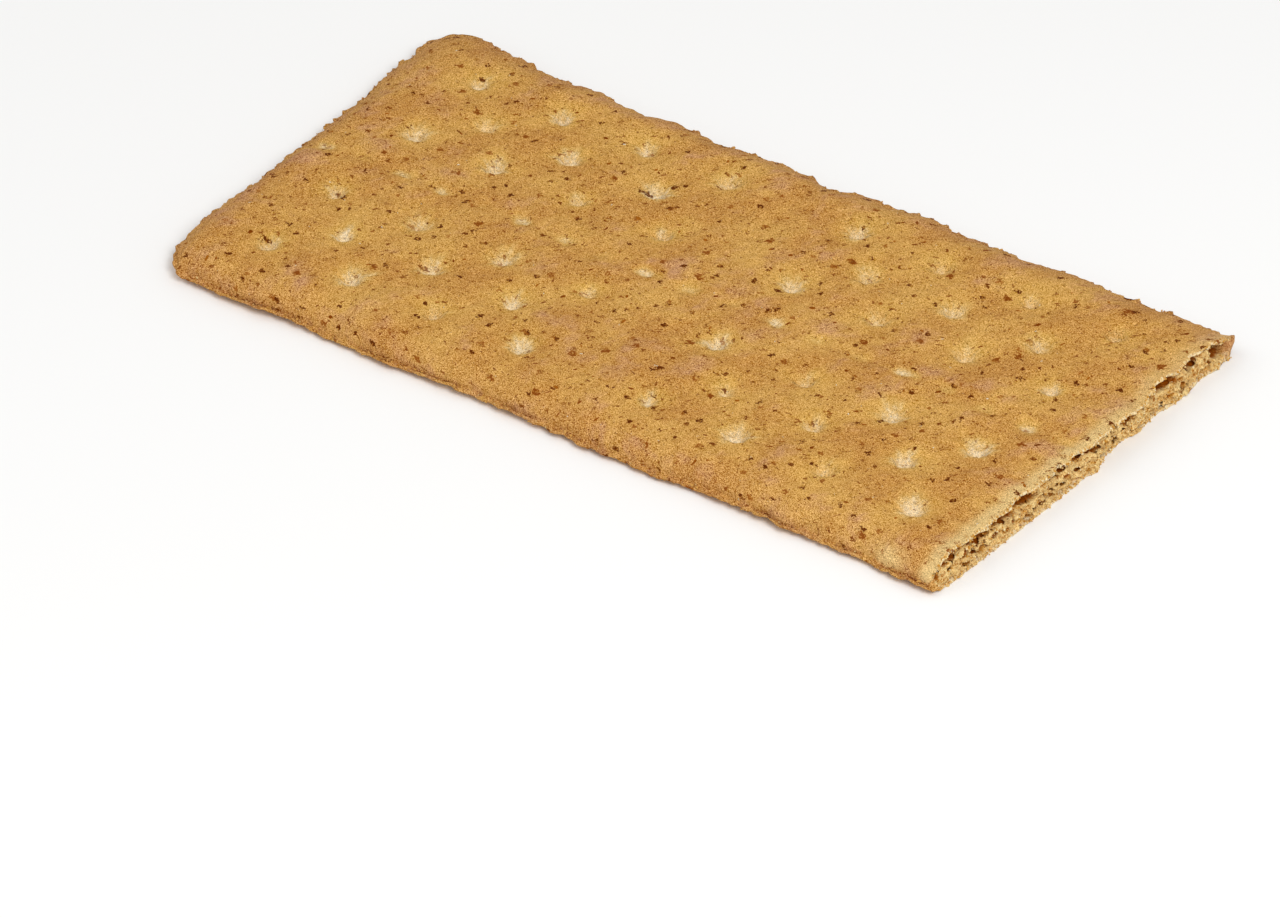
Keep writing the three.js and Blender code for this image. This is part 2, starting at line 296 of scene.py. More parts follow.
# %% Heights
UNEVENNESS = ((10, 0.24, 1), (4.5, 0.12, 2), (1.9, 0.06, 3), (0.85, 0.03, 4))  # size, height, seed
DUNES = ((5, 8.5, 0.2, 8), (2.4, 4.2, 0.1, 10))  # width, length, height, seed
DUNE_TURN = math.radians(69)
DIMPLE_DEPTH = 0.6
DIMPLE_SPREAD = 2.9
FUNNEL_FALL, FUNNEL_ROUND = 1.5, 1.25  # powers: how the funnel falls from its rim, and its bottom
LOBE_SIZE, LOBE_RISE = 0.8, 0.2  # how far from round a hole is
CREASE_SIZE = 0.26
WRINKLE_DEPTH = 0.22
WRINKLE_PLACE, WRINKLE_SPREAD = 0.8, 0.35  # as shares of the funnel's radius
FAR_WALL = 0.85  # how steep a hole's walls are, uphill and downhill of where its pin leaned
NEAR_WALL = 1.55
PINHOLE_SHIFT = 0.7
PINHOLE_SPREAD = 0.22
# The longer far reach is painted light on the far wall, which faces the camera and the key lamp.
FAN_REACHES = {"far": 3.6, "near": 2.0, "aside": 2.6}  # how far the paleness of a hole reaches
FAN_CREASES, FAN_LOBES = 0.32, 0.25
FAN_FADE = 1.1
MEAN_RADIUS = 1.7
# The amber is shifted uphill onto the lit far wall: partly amber crust, partly painted light.
LIT_WALL_SHIFT, AMBER_SPREAD = 0.9, 2.1  # the amber ring, uphill of the hole
VALLEY_DEPTH = 0.22
VALLEY_SPREAD = 1.3
STITCH_DEPTH = 0.55
STITCH_LENGTH = 1.15
STITCH_WIDTH = 0.8
STITCH_STRAY_X, STITCH_STRAY_Y = 0.5, 0.25
STITCH_TURNS = (12.9, 7.7, 4.1)  # radians from one dash to the next, for its place and its strength
CROSS_VALLEY_DEPTH = 0.14


def flat_points(x, y):
    return np.column_stack((x, y, np.zeros(len(x))))


def pinched_inset(x, y):
    """How far in a place lies from the nearest pinched edge."""
    return np.minimum(x + HALF_LENGTH, HALF_WIDTH - np.abs(y))


def full_thickness(x):
    return mix(THICKNESS, SNAPPED_THICKNESS, ease((x - HALF_LENGTH + THINNING_REACH) / THINNING_REACH))


def near_edges(x, y, reach):
    """How near a place is to the back, front and left edges: 1 on them, 0 from the reach inwards."""
    back = ease(1 - (HALF_WIDTH - y) / reach)
    front = ease(1 - (HALF_WIDTH + y) / reach)
    left = ease(1 - (HALF_LENGTH + x) / reach)
    return back, front, left


def lip_height(x, y):
    back, _, left = near_edges(x, y, LIP_RISE_REACH)
    wander = 0.22 * noise(flat_points(x, y), 9, 9)
    return LIP_HEIGHT + np.maximum(LIP_RISE["back"] * back, LIP_RISE["left"] * left) + wander


def shoulder_height(x, y):
    back, _, left = near_edges(x, y, LIP_RISE_REACH)
    scale = mix(SHOULDER_SCALES["front"], SHOULDER_SCALES["left"], left)
    scale = mix(scale, SHOULDER_SCALES["back"], back)
    climb = 1 - np.exp(-np.maximum(pinched_inset(x, y), 0) / scale)
    base = lip_height(x, y)
    return base + (full_thickness(x) - base) * climb


def hole_shape(x, y, number):
    """How deep one hole sinks the skin, how pale it leaves it, and its amber. The paleness reaches further
    up the far wall, which faces the camera and the key lamp, and the amber is shifted onto that wall: there
    both are partly painted light.
    """
    off_x = x - HOLE_CENTRES[number, 0]
    off_y = y - HOLE_CENTRES[number, 1]
    lean_x, lean_y = math.cos(HOLE_LEANS[number]), math.sin(HOLE_LEANS[number])
    uphill = off_x * lean_x + off_y * lean_y
    aside = off_y * lean_x - off_x * lean_y
    round_away = np.hypot(off_x, off_y)
    away = np.hypot(aside, uphill * np.where(uphill > 0, FAR_WALL, NEAR_WALL))
    turn = np.column_stack((off_x, off_y, round_away * 0.25)) / np.maximum(round_away, 0.05)[:, None]
    lobes = noise(turn, LOBE_SIZE, 20 + number)
    creases = noise(turn, CREASE_SIZE, 80 + number)
    ratio = away / (HOLE_RADII[number] * (1 + LOBE_RISE * lobes))
    funnel = HOLE_DEPTHS[number] * (1 - np.minimum(ratio, 1) ** FUNNEL_FALL) ** FUNNEL_ROUND
    sunk = DIMPLE_DEPTH * bell(round_away, DIMPLE_SPREAD) + funnel
    sunk += WRINKLE_DEPTH * creases * bell(ratio - WRINKLE_PLACE, WRINKLE_SPREAD)
    pinhole = bell(uphill + PINHOLE_SHIFT, PINHOLE_SPREAD) * bell(aside, 1.5 * PINHOLE_SPREAD)
    sunk += PINHOLE_DEPTHS[number] * pinhole
    # Pale dough in the funnel, reaching further up the lit far wall as painted light.
    fan = np.hypot(aside / FAN_REACHES["aside"],
                   uphill / np.where(uphill > 0, FAN_REACHES["far"], FAN_REACHES["near"]))
    fan *= (1 + FAN_CREASES * creases + FAN_LOBES * lobes) * MEAN_RADIUS / HOLE_RADII[number]
    pale = HOLE_PALENESS[number] * np.clip(1 - fan, 0, 1) ** FAN_FADE
    # The amber, shifted uphill onto the lit far wall, is partly painted light.
    amber_and_lit_wall = bell(np.hypot(aside, uphill - LIT_WALL_SHIFT), AMBER_SPREAD)
    return sunk, pale, amber_and_lit_wall


def near_hole(x, y, number, reach):
    off = np.hypot(x - HOLE_CENTRES[number, 0], y - HOLE_CENTRES[number, 1])
    return np.flatnonzero(off < reach)


def stitch_shape(x, y):
    """The short pressed dashes along the lengthwise score, as a depth."""
    number = np.round((x - PATTERN_X) / STITCH_PITCH)
    turn_x, turn_y, turn_strength = STITCH_TURNS
    off_x = x - PATTERN_X - number * STITCH_PITCH - STITCH_STRAY_X * np.sin(number * turn_x)
    off_y = y - PATTERN_Y - STITCH_STRAY_Y * np.sin(number * turn_y)
    strength = 0.65 + 0.35 * np.sin(number * turn_strength)
    ragged = 1 + 0.4 * noise(flat_points(x, y), 1.3, 15)
    dash = bell(off_x * ragged, STITCH_LENGTH) * bell(off_y * ragged, STITCH_WIDTH)
    return STITCH_DEPTH * strength * dash


def dune_height(x, y):
    """Long low waves that the rollers and the drying left across the sheet."""
    along_dune = x * math.cos(DUNE_TURN) + y * math.sin(DUNE_TURN)
    across_dune = y * math.cos(DUNE_TURN) - x * math.sin(DUNE_TURN)
    height = np.zeros(len(x))
    for width, length, rise, seed in DUNES:
        height += rise * noise(flat_points(across_dune / width, along_dune / length), 1, seed)
    return height


def skin_height(x, y):
    """The height of the skin over places in the flat rectangle."""
    points = flat_points(x, y)
    height = shoulder_height(x, y) + dune_height(x, y)
    for size, rise, seed in UNEVENNESS:
        height += rise * noise(points, size, seed)
    for number in range(len(HOLES)):
        spots = near_hole(x, y, number, 4 * DIMPLE_SPREAD)
        height[spots] -= hole_shape(x[spots], y[spots], number)[0]
    wander = 0.25 * line_noise(x, 9, 6)
    height -= VALLEY_DEPTH * bell(y - PATTERN_Y - wander, VALLEY_SPREAD) + stitch_shape(x, y)
    cross_wander = 0.3 * line_noise(y, 8, 7)
    height -= CROSS_VALLEY_DEPTH * bell(x - PATTERN_X - cross_wander, VALLEY_SPREAD)
    return height


SAMPLES = 6
middle_line = np.linspace(-HALF_LENGTH, HALF_LENGTH, SAMPLES)
print("skin heights along the middle, mm:", skin_height(middle_line, np.zeros(SAMPLES)).round(2))

# %% [markdown]
# ## From the flat rectangle to the real outline
#
# Two maps bend the plan. One rounds the two pinched corners, the other lets the rim wander. Every
# piece of the cracker goes through the same two, so they stay together.

# %% Plan


def round_corners(x, y):
    in_x = -HALF_LENGTH + CORNER_RADIUS - x
    in_y = np.abs(y) - (HALF_WIDTH - CORNER_RADIUS)
    corner = (in_x > 0) & (in_y > 0)
    shrink = np.ones(len(x))
    longer = np.maximum(in_x[corner], in_y[corner])
    shrink[corner] = longer / np.hypot(in_x[corner], in_y[corner])
    round_x = np.where(corner, -HALF_LENGTH + CORNER_RADIUS - in_x * shrink, x)
    round_y = np.where(corner, np.sign(y) * (HALF_WIDTH - CORNER_RADIUS + in_y * shrink), y)
    return round_x, round_y


def plan_place(x, y):
    """Where a place of the flat rectangle lies on the real cracker."""
    round_x, round_y = round_corners(x, y)
    back, front, left = near_edges(x, y, RIM_REACH)
    out_y = back * along(BACK_RIM, x) - front * along(FRONT_RIM, x)
    return round_x - left * along(LEFT_RIM, y), round_y + out_y


def torn_line(pairs, jags, y):
    jag = sum(reach * line_noise(y, size, seed) for size, reach, seed in jags)
    return HALF_LENGTH + along(pairs, y) + jag


def top_tear(y):
    return torn_line(TOP_TEAR, TOP_JAGS, y)


def bottom_tear(y):
    return torn_line(BOTTOM_TEAR, BOTTOM_JAGS, y)


corner_x, corner_y = plan_place(np.array([-HALF_LENGTH]), np.array([HALF_WIDTH]))
print("the back left corner moves to", corner_x.round(2), corner_y.round(2))

# %% [markdown]
# ## The crust
#
# The crust is one closed skin: the top, the pinched sides, the torn rims of the top and bottom skins
# with a mouth between them, and the underside. It starts as a grid primitive with cells a third of a
# millimetre wide. Its border is extruded ring by ring, and the last ring is bridged to a coarser grid
# for the underside, which nobody looks at closely. The rings get their places afterwards, from two
# tables: one for the pinched sides, one for the snapped end.

# %% Crust: grid, rings and underside
CELL = 0.355
RIM_INSET = 2.6
# The pinched sides, as (inset from the rim, share of the lip's height, height above that). Without
# the last two a ring lies on the skin. Below the lip the underside curls down to the table.
PINCHED_RINGS = [
    (RIM_INSET, None, None), (2.2, None, None), (1.8, None, None), (1.45, None, None),
    (1.15, None, None), (0.92, None, None), (0.75, None, None), (0.62, 1, 0.5), (0.62, 1, 0.22),
    (0.48, 1, 0.12), (0.22, 1, 0.02), (0, 1, -0.14), (0.03, 1, -0.34), (0.3, 1, -0.47),
    (0.8, 0.5, -0.1), (1.4, 0.26, -0.06), (2.1, 0.1, -0.02), (2.9, 0.03, 0), (3.6, 0, 0), (4.4, 0, 0),
]
# The snapped end, as (share of the way from the top tear to the bottom tear, inset from that tear,
# depth below the skin, height over the table). The share also picks between the last two.
SNAPPED_RINGS = [
    (0, 0.9, 0, 0), (0, 0.5, 0, 0), (0, 0.2, 0.03, 0), (0, 0.04, 0.12, 0), (0, 0, 0.3, 0),
    (0, 0.12, 0.5, 0), (0, 0.6, 0.56, 0), (0, 1.6, 0.58, 0), (0, 3.2, 0.58, 0), (0.33, 3.3, 0.6, 0.5),
    (0.67, 3.3, 0.6, 0.5), (1, 3.2, 0, 0.3), (1, 1.8, 0, 0.3), (1, 0.7, 0, 0.28), (1, 0.15, 0, 0.25),
    (1, 0, 0, 0.18), (1, 0.03, 0, 0.07), (1, 0.3, 0, 0.01), (1, 1.0, 0, 0), (1, 1.8, 0, 0),
]
RINGS = len(PINCHED_RINGS) - 1  # the last one belongs to the underside's own grid
UNDERSIDE_COARSER = 4
CELLS_X = UNDERSIDE_COARSER * round((LENGTH - RIM_INSET - 0.9) / CELL / UNDERSIDE_COARSER)
CELLS_Y = UNDERSIDE_COARSER * round((WIDTH - 2 * RIM_INSET) / CELL / UNDERSIDE_COARSER)
RING_DROP = 0.1


def deselect():
    if bpy.context.object and bpy.context.object.mode != "OBJECT":
        bpy.ops.object.mode_set(mode="OBJECT")
    bpy.ops.object.select_all(action="DESELECT")


def make_crust():
    deselect()
    bpy.ops.mesh.primitive_grid_add(x_subdivisions=CELLS_X, y_subdivisions=CELLS_Y, size=1)
    crust = bpy.context.object
    crust.name = "cracker_crust"
    bpy.ops.object.mode_set(mode="EDIT")
    bpy.ops.mesh.select_mode(type="EDGE")
    bpy.ops.mesh.select_all(action="DESELECT")
    bpy.ops.mesh.select_non_manifold()
    for _ in range(RINGS - 1):
        bpy.ops.mesh.extrude_edges_move(TRANSFORM_OT_translate={"value": (0, 0, -RING_DROP)})
    deselect()
    bpy.ops.mesh.primitive_grid_add(
        x_subdivisions=CELLS_X // UNDERSIDE_COARSER,
        y_subdivisions=CELLS_Y // UNDERSIDE_COARSER,
        size=1,
        location=(0, 0, -RINGS * RING_DROP),
    )
    underside = bpy.context.object
    bpy.ops.object.transform_apply(location=True, rotation=False, scale=False)
    bpy.ops.object.mode_set(mode="EDIT")
    bpy.ops.mesh.select_all(action="SELECT")
    bpy.ops.mesh.flip_normals()
    deselect()
    crust.select_set(True)
    underside.select_set(True)
    bpy.context.view_layer.objects.active = crust
    bpy.ops.object.join()
    bpy.ops.object.mode_set(mode="EDIT")
    bpy.ops.mesh.select_mode(type="EDGE")
    bpy.ops.mesh.select_all(action="DESELECT")
    bpy.ops.mesh.select_non_manifold()
    bpy.ops.mesh.bridge_edge_loops()
    deselect()
    return crust


def read_points(piece):
    points = np.empty(3 * len(piece.data.vertices))
    piece.data.vertices.foreach_get("co", points)
    return points.reshape(-1, 3)


def write_points(piece, points):
    piece.data.vertices.foreach_set("co", (points * MM).astype(np.float32).ravel())
    piece.data.update()


def paint(piece, name, values):
    """Keeps one number for each vertex, which the piece's material can read."""
    layer = piece.data.attributes.new(name, "FLOAT", "POINT")
    layer.data.foreach_set("value", np.asarray(values, np.float32))


crust = make_crust()
print("crust:", len(crust.data.vertices), "vertices,", len(crust.data.polygons), "faces")

# %% [markdown]
# Next the flat sheet is moved into shape. A displace modifier can only push along one direction, and
# here the rings also move sideways and curl under, so the vertices are moved in code, as a sculptor
# would push them. The grid is drawn in round each hole, which gives the funnels finer cells. The lip
# gets lobes and notches all the way round, and along the front it curls up in stretches.

# %% Crust: sculpt
LIP_FOLLOW_RINGS = (2, 7, 10, 12, 15)  # how much of the lip's raggedness each ring takes
LIP_FOLLOW = (0, 0.5, 1, 1, 0)
LIP_CURL_RINGS = (6, 7, 8, 9, 10, 11, 12, 13, 14)  # the front lip curls up in stretches, off a crease
LIP_CURL = (0, -0.2, -0.5, -0.45, 0.2, 0.35, 0.25, 0.1, 0)
LIP_FLARE = 0.35  # how far a curl also leans out
CURL_WIDTH = 3  # the curl stays this near to the front edge, and this far from its left corner
CURL_EASES = (1.5, 6)
CURL_LENGTH = 5
LIP_WAVE, LIP_WAVE_SIZE = 0.2, (1.8, 1.8, 3)
TORN_WAVE, TORN_WAVE_SIZE = 0.1, 0.6
TORN_RINGS = (2, 16)
TEETH = ((2.3, 2.3, 7), 1.2, 51)  # size, rise, seed of the lip's lobes, then of its small notches
FINE_TEETH = ((0.75, 0.75, 3), 0.25, 52)
TEETH_SUNK = 0.3
TEETH_REACH = 7
TEETH_AT_FRONT, TEETH_ELSEWHERE = 0.6, 1.1
TEETH_RISE = 0.3  # the lobes also stand up by this share
CORNER_REACH, CORNER_EASE, CORNER_CALM = 6, 5, 0.75  # the lobes are lower in the rounded corners
SHARE_SNAPPED = 0.9999  # from here on, a ring's vertex belongs to the snapped end
MOUTH_RINGS = (5, 15)
MOUTH_EDGE = 0.9  # the mouth at the snapped end closes this far from the pinched edges
MOUTH_CLOSING = 2.2
HOLE_PULL = 0.5


def draw_in(x, y):
    """Pulls the grid towards each hole, to half its spacing at the centre."""
    for number in range(len(HOLES)):
        reach = 1.5 * HOLE_RADII[number]
        spots = near_hole(x, y, number, reach)
        off_x = x[spots] - HOLE_CENTRES[number, 0]
        off_y = y[spots] - HOLE_CENTRES[number, 1]
        pull = mix(HOLE_PULL, 1, np.hypot(off_x, off_y) / reach)
        x[spots] = HOLE_CENTRES[number, 0] + off_x * pull
        y[spots] = HOLE_CENTRES[number, 1] + off_y * pull
    return x, y


def ring_column(rings, column):
    """One column of a ring table as numbers, with not-a-number for what is left out."""
    return np.array([math.nan if row[column] is None else row[column] for row in rings], float)


def mouth_width(y):
    """1 where the snapped end stands open, falling to 0 at the pinched edges."""
    return ease((HALF_WIDTH - MOUTH_EDGE - np.abs(y)) / MOUTH_CLOSING)


def edge_teeth(x, y, z):
    """How far the lip's lobes and notches push it out at each place, and which way out is."""
    points = np.column_stack((x, y, z))
    size, rise, seed = TEETH
    teeth = rise * np.abs(noise(points, size, seed)) - TEETH_SUNK
    size, rise, seed = FINE_TEETH
    teeth += rise * noise(points, size, seed)
    back, _, left = near_edges(x, y, TEETH_REACH)
    outward = np.column_stack((
        x - np.maximum(x, -HALF_LENGTH + CORNER_RADIUS),
        y - np.clip(y, -HALF_WIDTH + CORNER_RADIUS, HALF_WIDTH - CORNER_RADIUS),
    ))
    outward /= np.maximum(np.linalg.norm(outward, axis=1, keepdims=True), 0.001)
    in_corner = ease((np.abs(y) - HALF_WIDTH + CORNER_REACH) / CORNER_EASE)
    in_corner *= ease((-HALF_LENGTH + CORNER_REACH - x) / CORNER_EASE)
    teeth *= mix(TEETH_AT_FRONT, TEETH_ELSEWHERE, np.maximum(back, left))
    return teeth * (1 - CORNER_CALM * in_corner), outward


def curl_strength(x, y):
    """How far the front lip curls up: in stretches, and fading towards the left corner."""
    ease_y, ease_x = CURL_EASES
    front = ease((-HALF_WIDTH + CURL_WIDTH - y) / ease_y) * ease((x + HALF_LENGTH - CURL_WIDTH) / ease_x)
    return front * ease(0.45 + 1.3 * line_noise(x, CURL_LENGTH, 55))


def ring_plan(start, ring):
    """Where each vertex of the grid and its rings lies in the flat rectangle."""
    share_x = np.clip(start[:, 0] + 0.5, 0, 1)
    share_y = np.clip(2 * start[:, 1], -1, 1)
    inset = ring_column(PINCHED_RINGS, 0)[ring]
    y = share_y * (HALF_WIDTH - inset)
    open_share = np.where(np.isin(ring, range(*MOUTH_RINGS)), mouth_width(y), 1)
    tear_inset = ring_column(SNAPPED_RINGS, 1)[ring]
    tear_inset = mix(np.minimum(0.1, tear_inset), tear_inset, open_share)
    end = mix(top_tear(y), bottom_tear(y), ring_column(SNAPPED_RINGS, 0)[ring]) - tear_inset
    x = mix(-HALF_LENGTH + inset, end, share_x)
    top = ring == 0
    x[top], y[top] = draw_in(x[top], y[top])
    return x, y, share_x


def ring_heights(x, y, ring, snapped):
    """How high they lie, before the lip gets its lobes."""
    skin = skin_height(x, y)
    lip_share = ring_column(PINCHED_RINGS, 1)[ring]
    above_lip = ring_column(PINCHED_RINGS, 2)[ring]
    z = np.where(np.isnan(lip_share), skin, lip_share * lip_height(x, y) + above_lip)
    below = skin - ring_column(SNAPPED_RINGS, 2)[ring]
    above = ring_column(SNAPPED_RINGS, 3)[ring]
    snapped_z = mix(below, above, ring_column(SNAPPED_RINGS, 0)[ring])
    z = np.maximum(z, 0)
    return np.where(snapped, mix(z, snapped_z, mouth_width(y)), z)


def sculpt_crust(crust):
    start = read_points(crust)
    ring = np.round(-start[:, 2] / RING_DROP).astype(int)
    x, y, share_x = ring_plan(start, ring)
    pinched = share_x < SHARE_SNAPPED
    snapped = (share_x > SHARE_SNAPPED) & (ring > 0) & (ring < RINGS)
    z = ring_heights(x, y, ring, snapped)

    round_x, round_y = round_corners(x, y)
    points = np.column_stack((round_x, round_y, z))
    follows_lip = np.interp(ring, LIP_FOLLOW_RINGS, LIP_FOLLOW) * pinched
    teeth, outward = edge_teeth(round_x, round_y, z)
    teeth *= follows_lip
    z = z + LIP_WAVE * noise(points, LIP_WAVE_SIZE, 53) * follows_lip + TEETH_RISE * teeth
    curl = curl_strength(x, y) * pinched
    z += np.interp(ring, LIP_CURL_RINGS, LIP_CURL) * curl * (1 + 0.6 * noise(points, (1.1, 3, 3), 56))
    torn = (ring >= TORN_RINGS[0]) & (ring <= TORN_RINGS[1]) & snapped
    z = np.where(torn, z + TORN_WAVE * noise(points, TORN_WAVE_SIZE, 54), z)
    plan_x, plan_y = plan_place(x, y)
    flare = teeth + LIP_FLARE * curl * follows_lip
    plan_x += outward[:, 0] * flare
    plan_y += outward[:, 1] * flare
    write_points(crust, np.column_stack((plan_x, plan_y, z)))
    return x, y, z, ring, pinched, snapped, curl


crust_x, crust_y, crust_z, crust_ring, crust_pinched, crust_snapped, crust_curl = sculpt_crust(crust)
print("crust heights from", round(crust_z.min(), 2), "to", round(crust_z.max(), 2), "mm")

# %% [markdown]
# The crust's colour follows its shape: the funnels stayed pale, a ring of amber lies round each, high
# spots and pinched edges are browner, and a light band runs along the break. Some light and shade is
# painted too. Each funnel's far wall faces the camera and the key lamp, so it is paler and takes the
# amber as painted light. The torn rims are paler still as a painted highlight. The mouth's inner walls
# and the front lip's creases are painted dark as shade. A material can't know where those places are,
# so each vertex keeps a few numbers that say so.

# %% Crust: what the colour follows
BAND_EDGE, BAND_SPREAD = 0.9, 0.78  # the band's full width, and how softly it fades inwards
BAND_AT_BACK = 0.45
SCRAPED = (54.5, -31.6, 1.6)  # x, y and size of a pale crumbly spot near the front edge
SCRAPED_PALENESS = 0.8
MARK_REACH = 9
TOP_RINGS = 8  # the rings before this one carry the skin's own colours
TORN_COLOUR_RINGS = (3, 4, 5, 6, 13, 14, 15, 16)
# The mouth's inner walls, deep under the top skin, get painted shade.
MOUTH_SHADE_RINGS = (8, 9, 10, 11)
LIP_RINGS = range(8, 14)
# The creases behind the front lip's curls get painted shade.
CREASE_SHADE_RINGS = (8, 9)


def mark_crust():
    pit = np.zeros(len(crust_x))
    amber_and_lit_wall = np.zeros(len(crust_x))
    for number in range(len(HOLES)):
        spots = near_hole(crust_x, crust_y, number, MARK_REACH)
        _, pale, around = hole_shape(crust_x[spots], crust_y[spots], number)
        pit[spots] = np.maximum(pit[spots], pale)
        amber_and_lit_wall[spots] = np.maximum(amber_and_lit_wall[spots], around)
    stitch = stitch_shape(crust_x, crust_y) / STITCH_DEPTH
    pit = np.maximum(pit, 0.75 * np.maximum(stitch - 0.15, 0))
    amber_and_lit_wall = np.maximum(amber_and_lit_wall, 0.7 * ease(stitch * 2))
    above = crust_ring < TOP_RINGS
    # The funnel and amber marks carry painted light on each funnel's far wall, besides the dough's colour.
    paint(crust, "pit", pit * above)
    paint(crust, "amber_and_lit_wall", amber_and_lit_wall * above)
    swell = crust_z - shoulder_height(crust_x, crust_y)
    paint(crust, "swell", np.where(crust_ring == 0, swell, 0))
    _, front, _ = near_edges(crust_x, crust_y, 4)
    back, _, left = near_edges(crust_x, crust_y, 8)
    paint(crust, "rim", np.maximum.reduce((0.6 * front, back, left)))
    from_tear = top_tear(crust_y) - crust_x
    weaker_at_back = mix(1, BAND_AT_BACK, ease(crust_y / 20))
    band = weaker_at_back * bell(np.maximum(from_tear - BAND_EDGE, 0), BAND_SPREAD)
    from_scraped = np.hypot(crust_x - SCRAPED[0], 2 * (crust_y - SCRAPED[1]))
    scraped = SCRAPED_PALENESS * bell(from_scraped, SCRAPED[2])
    paint(crust, "band", np.maximum(band, scraped) * above)
    mouth = crust_snapped * mouth_width(crust_y)
    # The torn rims: pale crumb, made paler still as a painted highlight.
    paint(crust, "torn", mouth * np.isin(crust_ring, TORN_COLOUR_RINGS))
    # Painted shade on the mouth's inner walls.
    paint(crust, "inside", mouth * np.isin(crust_ring, MOUTH_SHADE_RINGS))
    paint(crust, "lip", np.isin(crust_ring, LIP_RINGS) & crust_pinched)
    # Painted shade in the front lip's creases.
    paint(crust, "crease", crust_curl * np.isin(crust_ring, CREASE_SHADE_RINGS))


mark_crust()
crust.data.polygons.foreach_set("use_smooth", np.ones(len(crust.data.polygons), bool))
print("crust marks:", [layer.name for layer in crust.data.attributes if layer.data_type == "FLOAT"])

# %% [markdown]
# ## The crumb
#
# Where the cracker broke, its inside shows: flaky layers, open pores, and long hollows under the top
# skin. Caves and overhangs like these can't be pushed up from a grid. They are carved instead: a
# block of small cubes holds how deep each lies inside the crumb, bubbles are taken out of it one by
# one, and OpenVDB wraps a mesh round what is left.

# %% Crumb: carve
VOXEL = 0.13
CRUMB_FLOOR = 0.16
CRUMB_UNDER_SKIN = 0.5
FACE_NEARNESS = 1.3  # the roughness is only worked out this near to the torn face
CAVITY_REACH = 4  # in cubes, how wide a hollow counts as a cavity
GROOVE_DEPTH = 1.0  # a thin dark gap between the top skin and the crumb
CRUMB_REACH = 3.35  # how far in the crumb goes, just into the mouth's back wall
CAVES = [  # y, width, depth, height: long hollows under the top skin
    (29.4, 3.8, 2.8, 1.7), (23.6, 2.4, 2.0, 1.2), (17.3, 3.2, 2.0, 1.2), (13.4, 3.0, 2.0, 1.2),
    (8.4, 2.2, 1.4, 0.9), (4.6, 2.6, 1.2, 0.8), (0.6, 3.0, 1.7, 1.0), (-3.2, 1.8, 1.9, 1.1),
    (-7.0, 1.6, 1.2, 0.8), (-12.8, 3.8, 1.5, 1.3), (-18.2, 3.0, 1.8, 1.1), (-23.4, 2.4, 1.9, 1.1),
    (-27.2, 2.4, 1.3, 0.8),
]
BUBBLES = 1100
BUBBLE_RADII = (0.11, 0.51, 3)  # smallest, largest, and how much more of the small ones there are
BUBBLE_DEPTHS = (-1.1, 0.25)
FACE_RECESSES = (0.25, 0.3)  # how far the crumb lies behind the bottom tear and the top tear
SHARE_START = 0.3  # heights over the table and under the skin between which the face leans
FACE_ROUGHNESS = (  # size, rise, seed: flat layers first, then lumps, then grit
    ((6, 2.6, 0.55), 0.3, 61), ((3, 0.9, 0.35), 0.2, 62), ((1.8, 1.7, 1.3), 0.5, 64),
    ((0.6, 0.7, 0.45), 0.36, 63), (0.3, 0.2, 65),
)
GROOVE_PLACE, GROOVE_HEIGHT = 0.26, 0.26
SIDE_INSET = 0.75
BLOCK_X = (HALF_LENGTH - 5.6, HALF_LENGTH + 1.6)
BLOCK_Y = (-HALF_WIDTH - 0.2, HALF_WIDTH + 0.2)
BLOCK_Z = (-0.2, SNAPPED_THICKNESS + 0.8)


def torn_face(y, height_share):
    """How far out the crumb reaches, from the bottom tear (share 0) to the top tear (share 1)."""
    return mix(bottom_tear(y), top_tear(y), height_share) - mix(*FACE_RECESSES, height_share)


def crumb_block():
    """The block of cubes: its three axes, their grids, and how deep in the crumb each cube lies."""
    axes = [np.arange(low, high, VOXEL) for low, high in (BLOCK_X, BLOCK_Y, BLOCK_Z)]
    grids = np.meshgrid(*axes, indexing="ij")
    x, y, z = grids
    axis_y = axes[1]
    skin = skin_height(x[:, :, 0].ravel(), y[:, :, 0].ravel()).reshape(len(axes[0]), len(axis_y), 1)
    ceiling = skin - CRUMB_UNDER_SKIN
    share = np.clip((z - SHARE_START) / np.maximum(ceiling - SHARE_START, SHARE_START), 0, 1)
    face_bottom = torn_face(axis_y, 0)[None, :, None]
    face_top = torn_face(axis_y, 1)[None, :, None]
    face = mix(face_bottom, face_top, share) - x
    close = np.abs(face) < FACE_NEARNESS
    points = np.column_stack((x[close], y[close], z[close]))
    for size, rise, seed in FACE_ROUGHNESS:
        face[close] += rise * noise(points, size, seed)
    groove = GROOVE_DEPTH * np.clip(0.55 + 1.2 * line_noise(axis_y, 1.9, 66), 0, 1.3)[None, :, None]
    face -= groove * bell(ceiling - z - GROOVE_PLACE, GROOVE_HEIGHT)
    back = x - (mix(bottom_tear(axis_y), top_tear(axis_y), 0.5)[None, :, None] - CRUMB_REACH)
    sides = HALF_WIDTH - SIDE_INSET - np.abs(y)
    floor = CRUMB_FLOOR + 0.5 * ease((np.abs(y) - HALF_WIDTH + 2.4) / 1.8)
    return axes, grids, np.minimum.reduce((face, back, z - floor, ceiling - z, sides))


def take_out(axes, grids, solid, centre, radii):
    """Carves one soft-edged oval hollow."""
    block = []
    for axis, middle, radius in zip(axes, centre, radii):
        reach = 1.5 * radius + 0.3
        block.append(slice(*np.searchsorted(axis, (middle - reach, middle + reach))))
    block = tuple(block)
    far = np.sqrt(sum(((grid[block] - middle) / radius) ** 2
                      for grid, middle, radius in zip(grids, centre, radii)))
    solid[block] = np.minimum(solid[block], (far - 1) * min(radii))


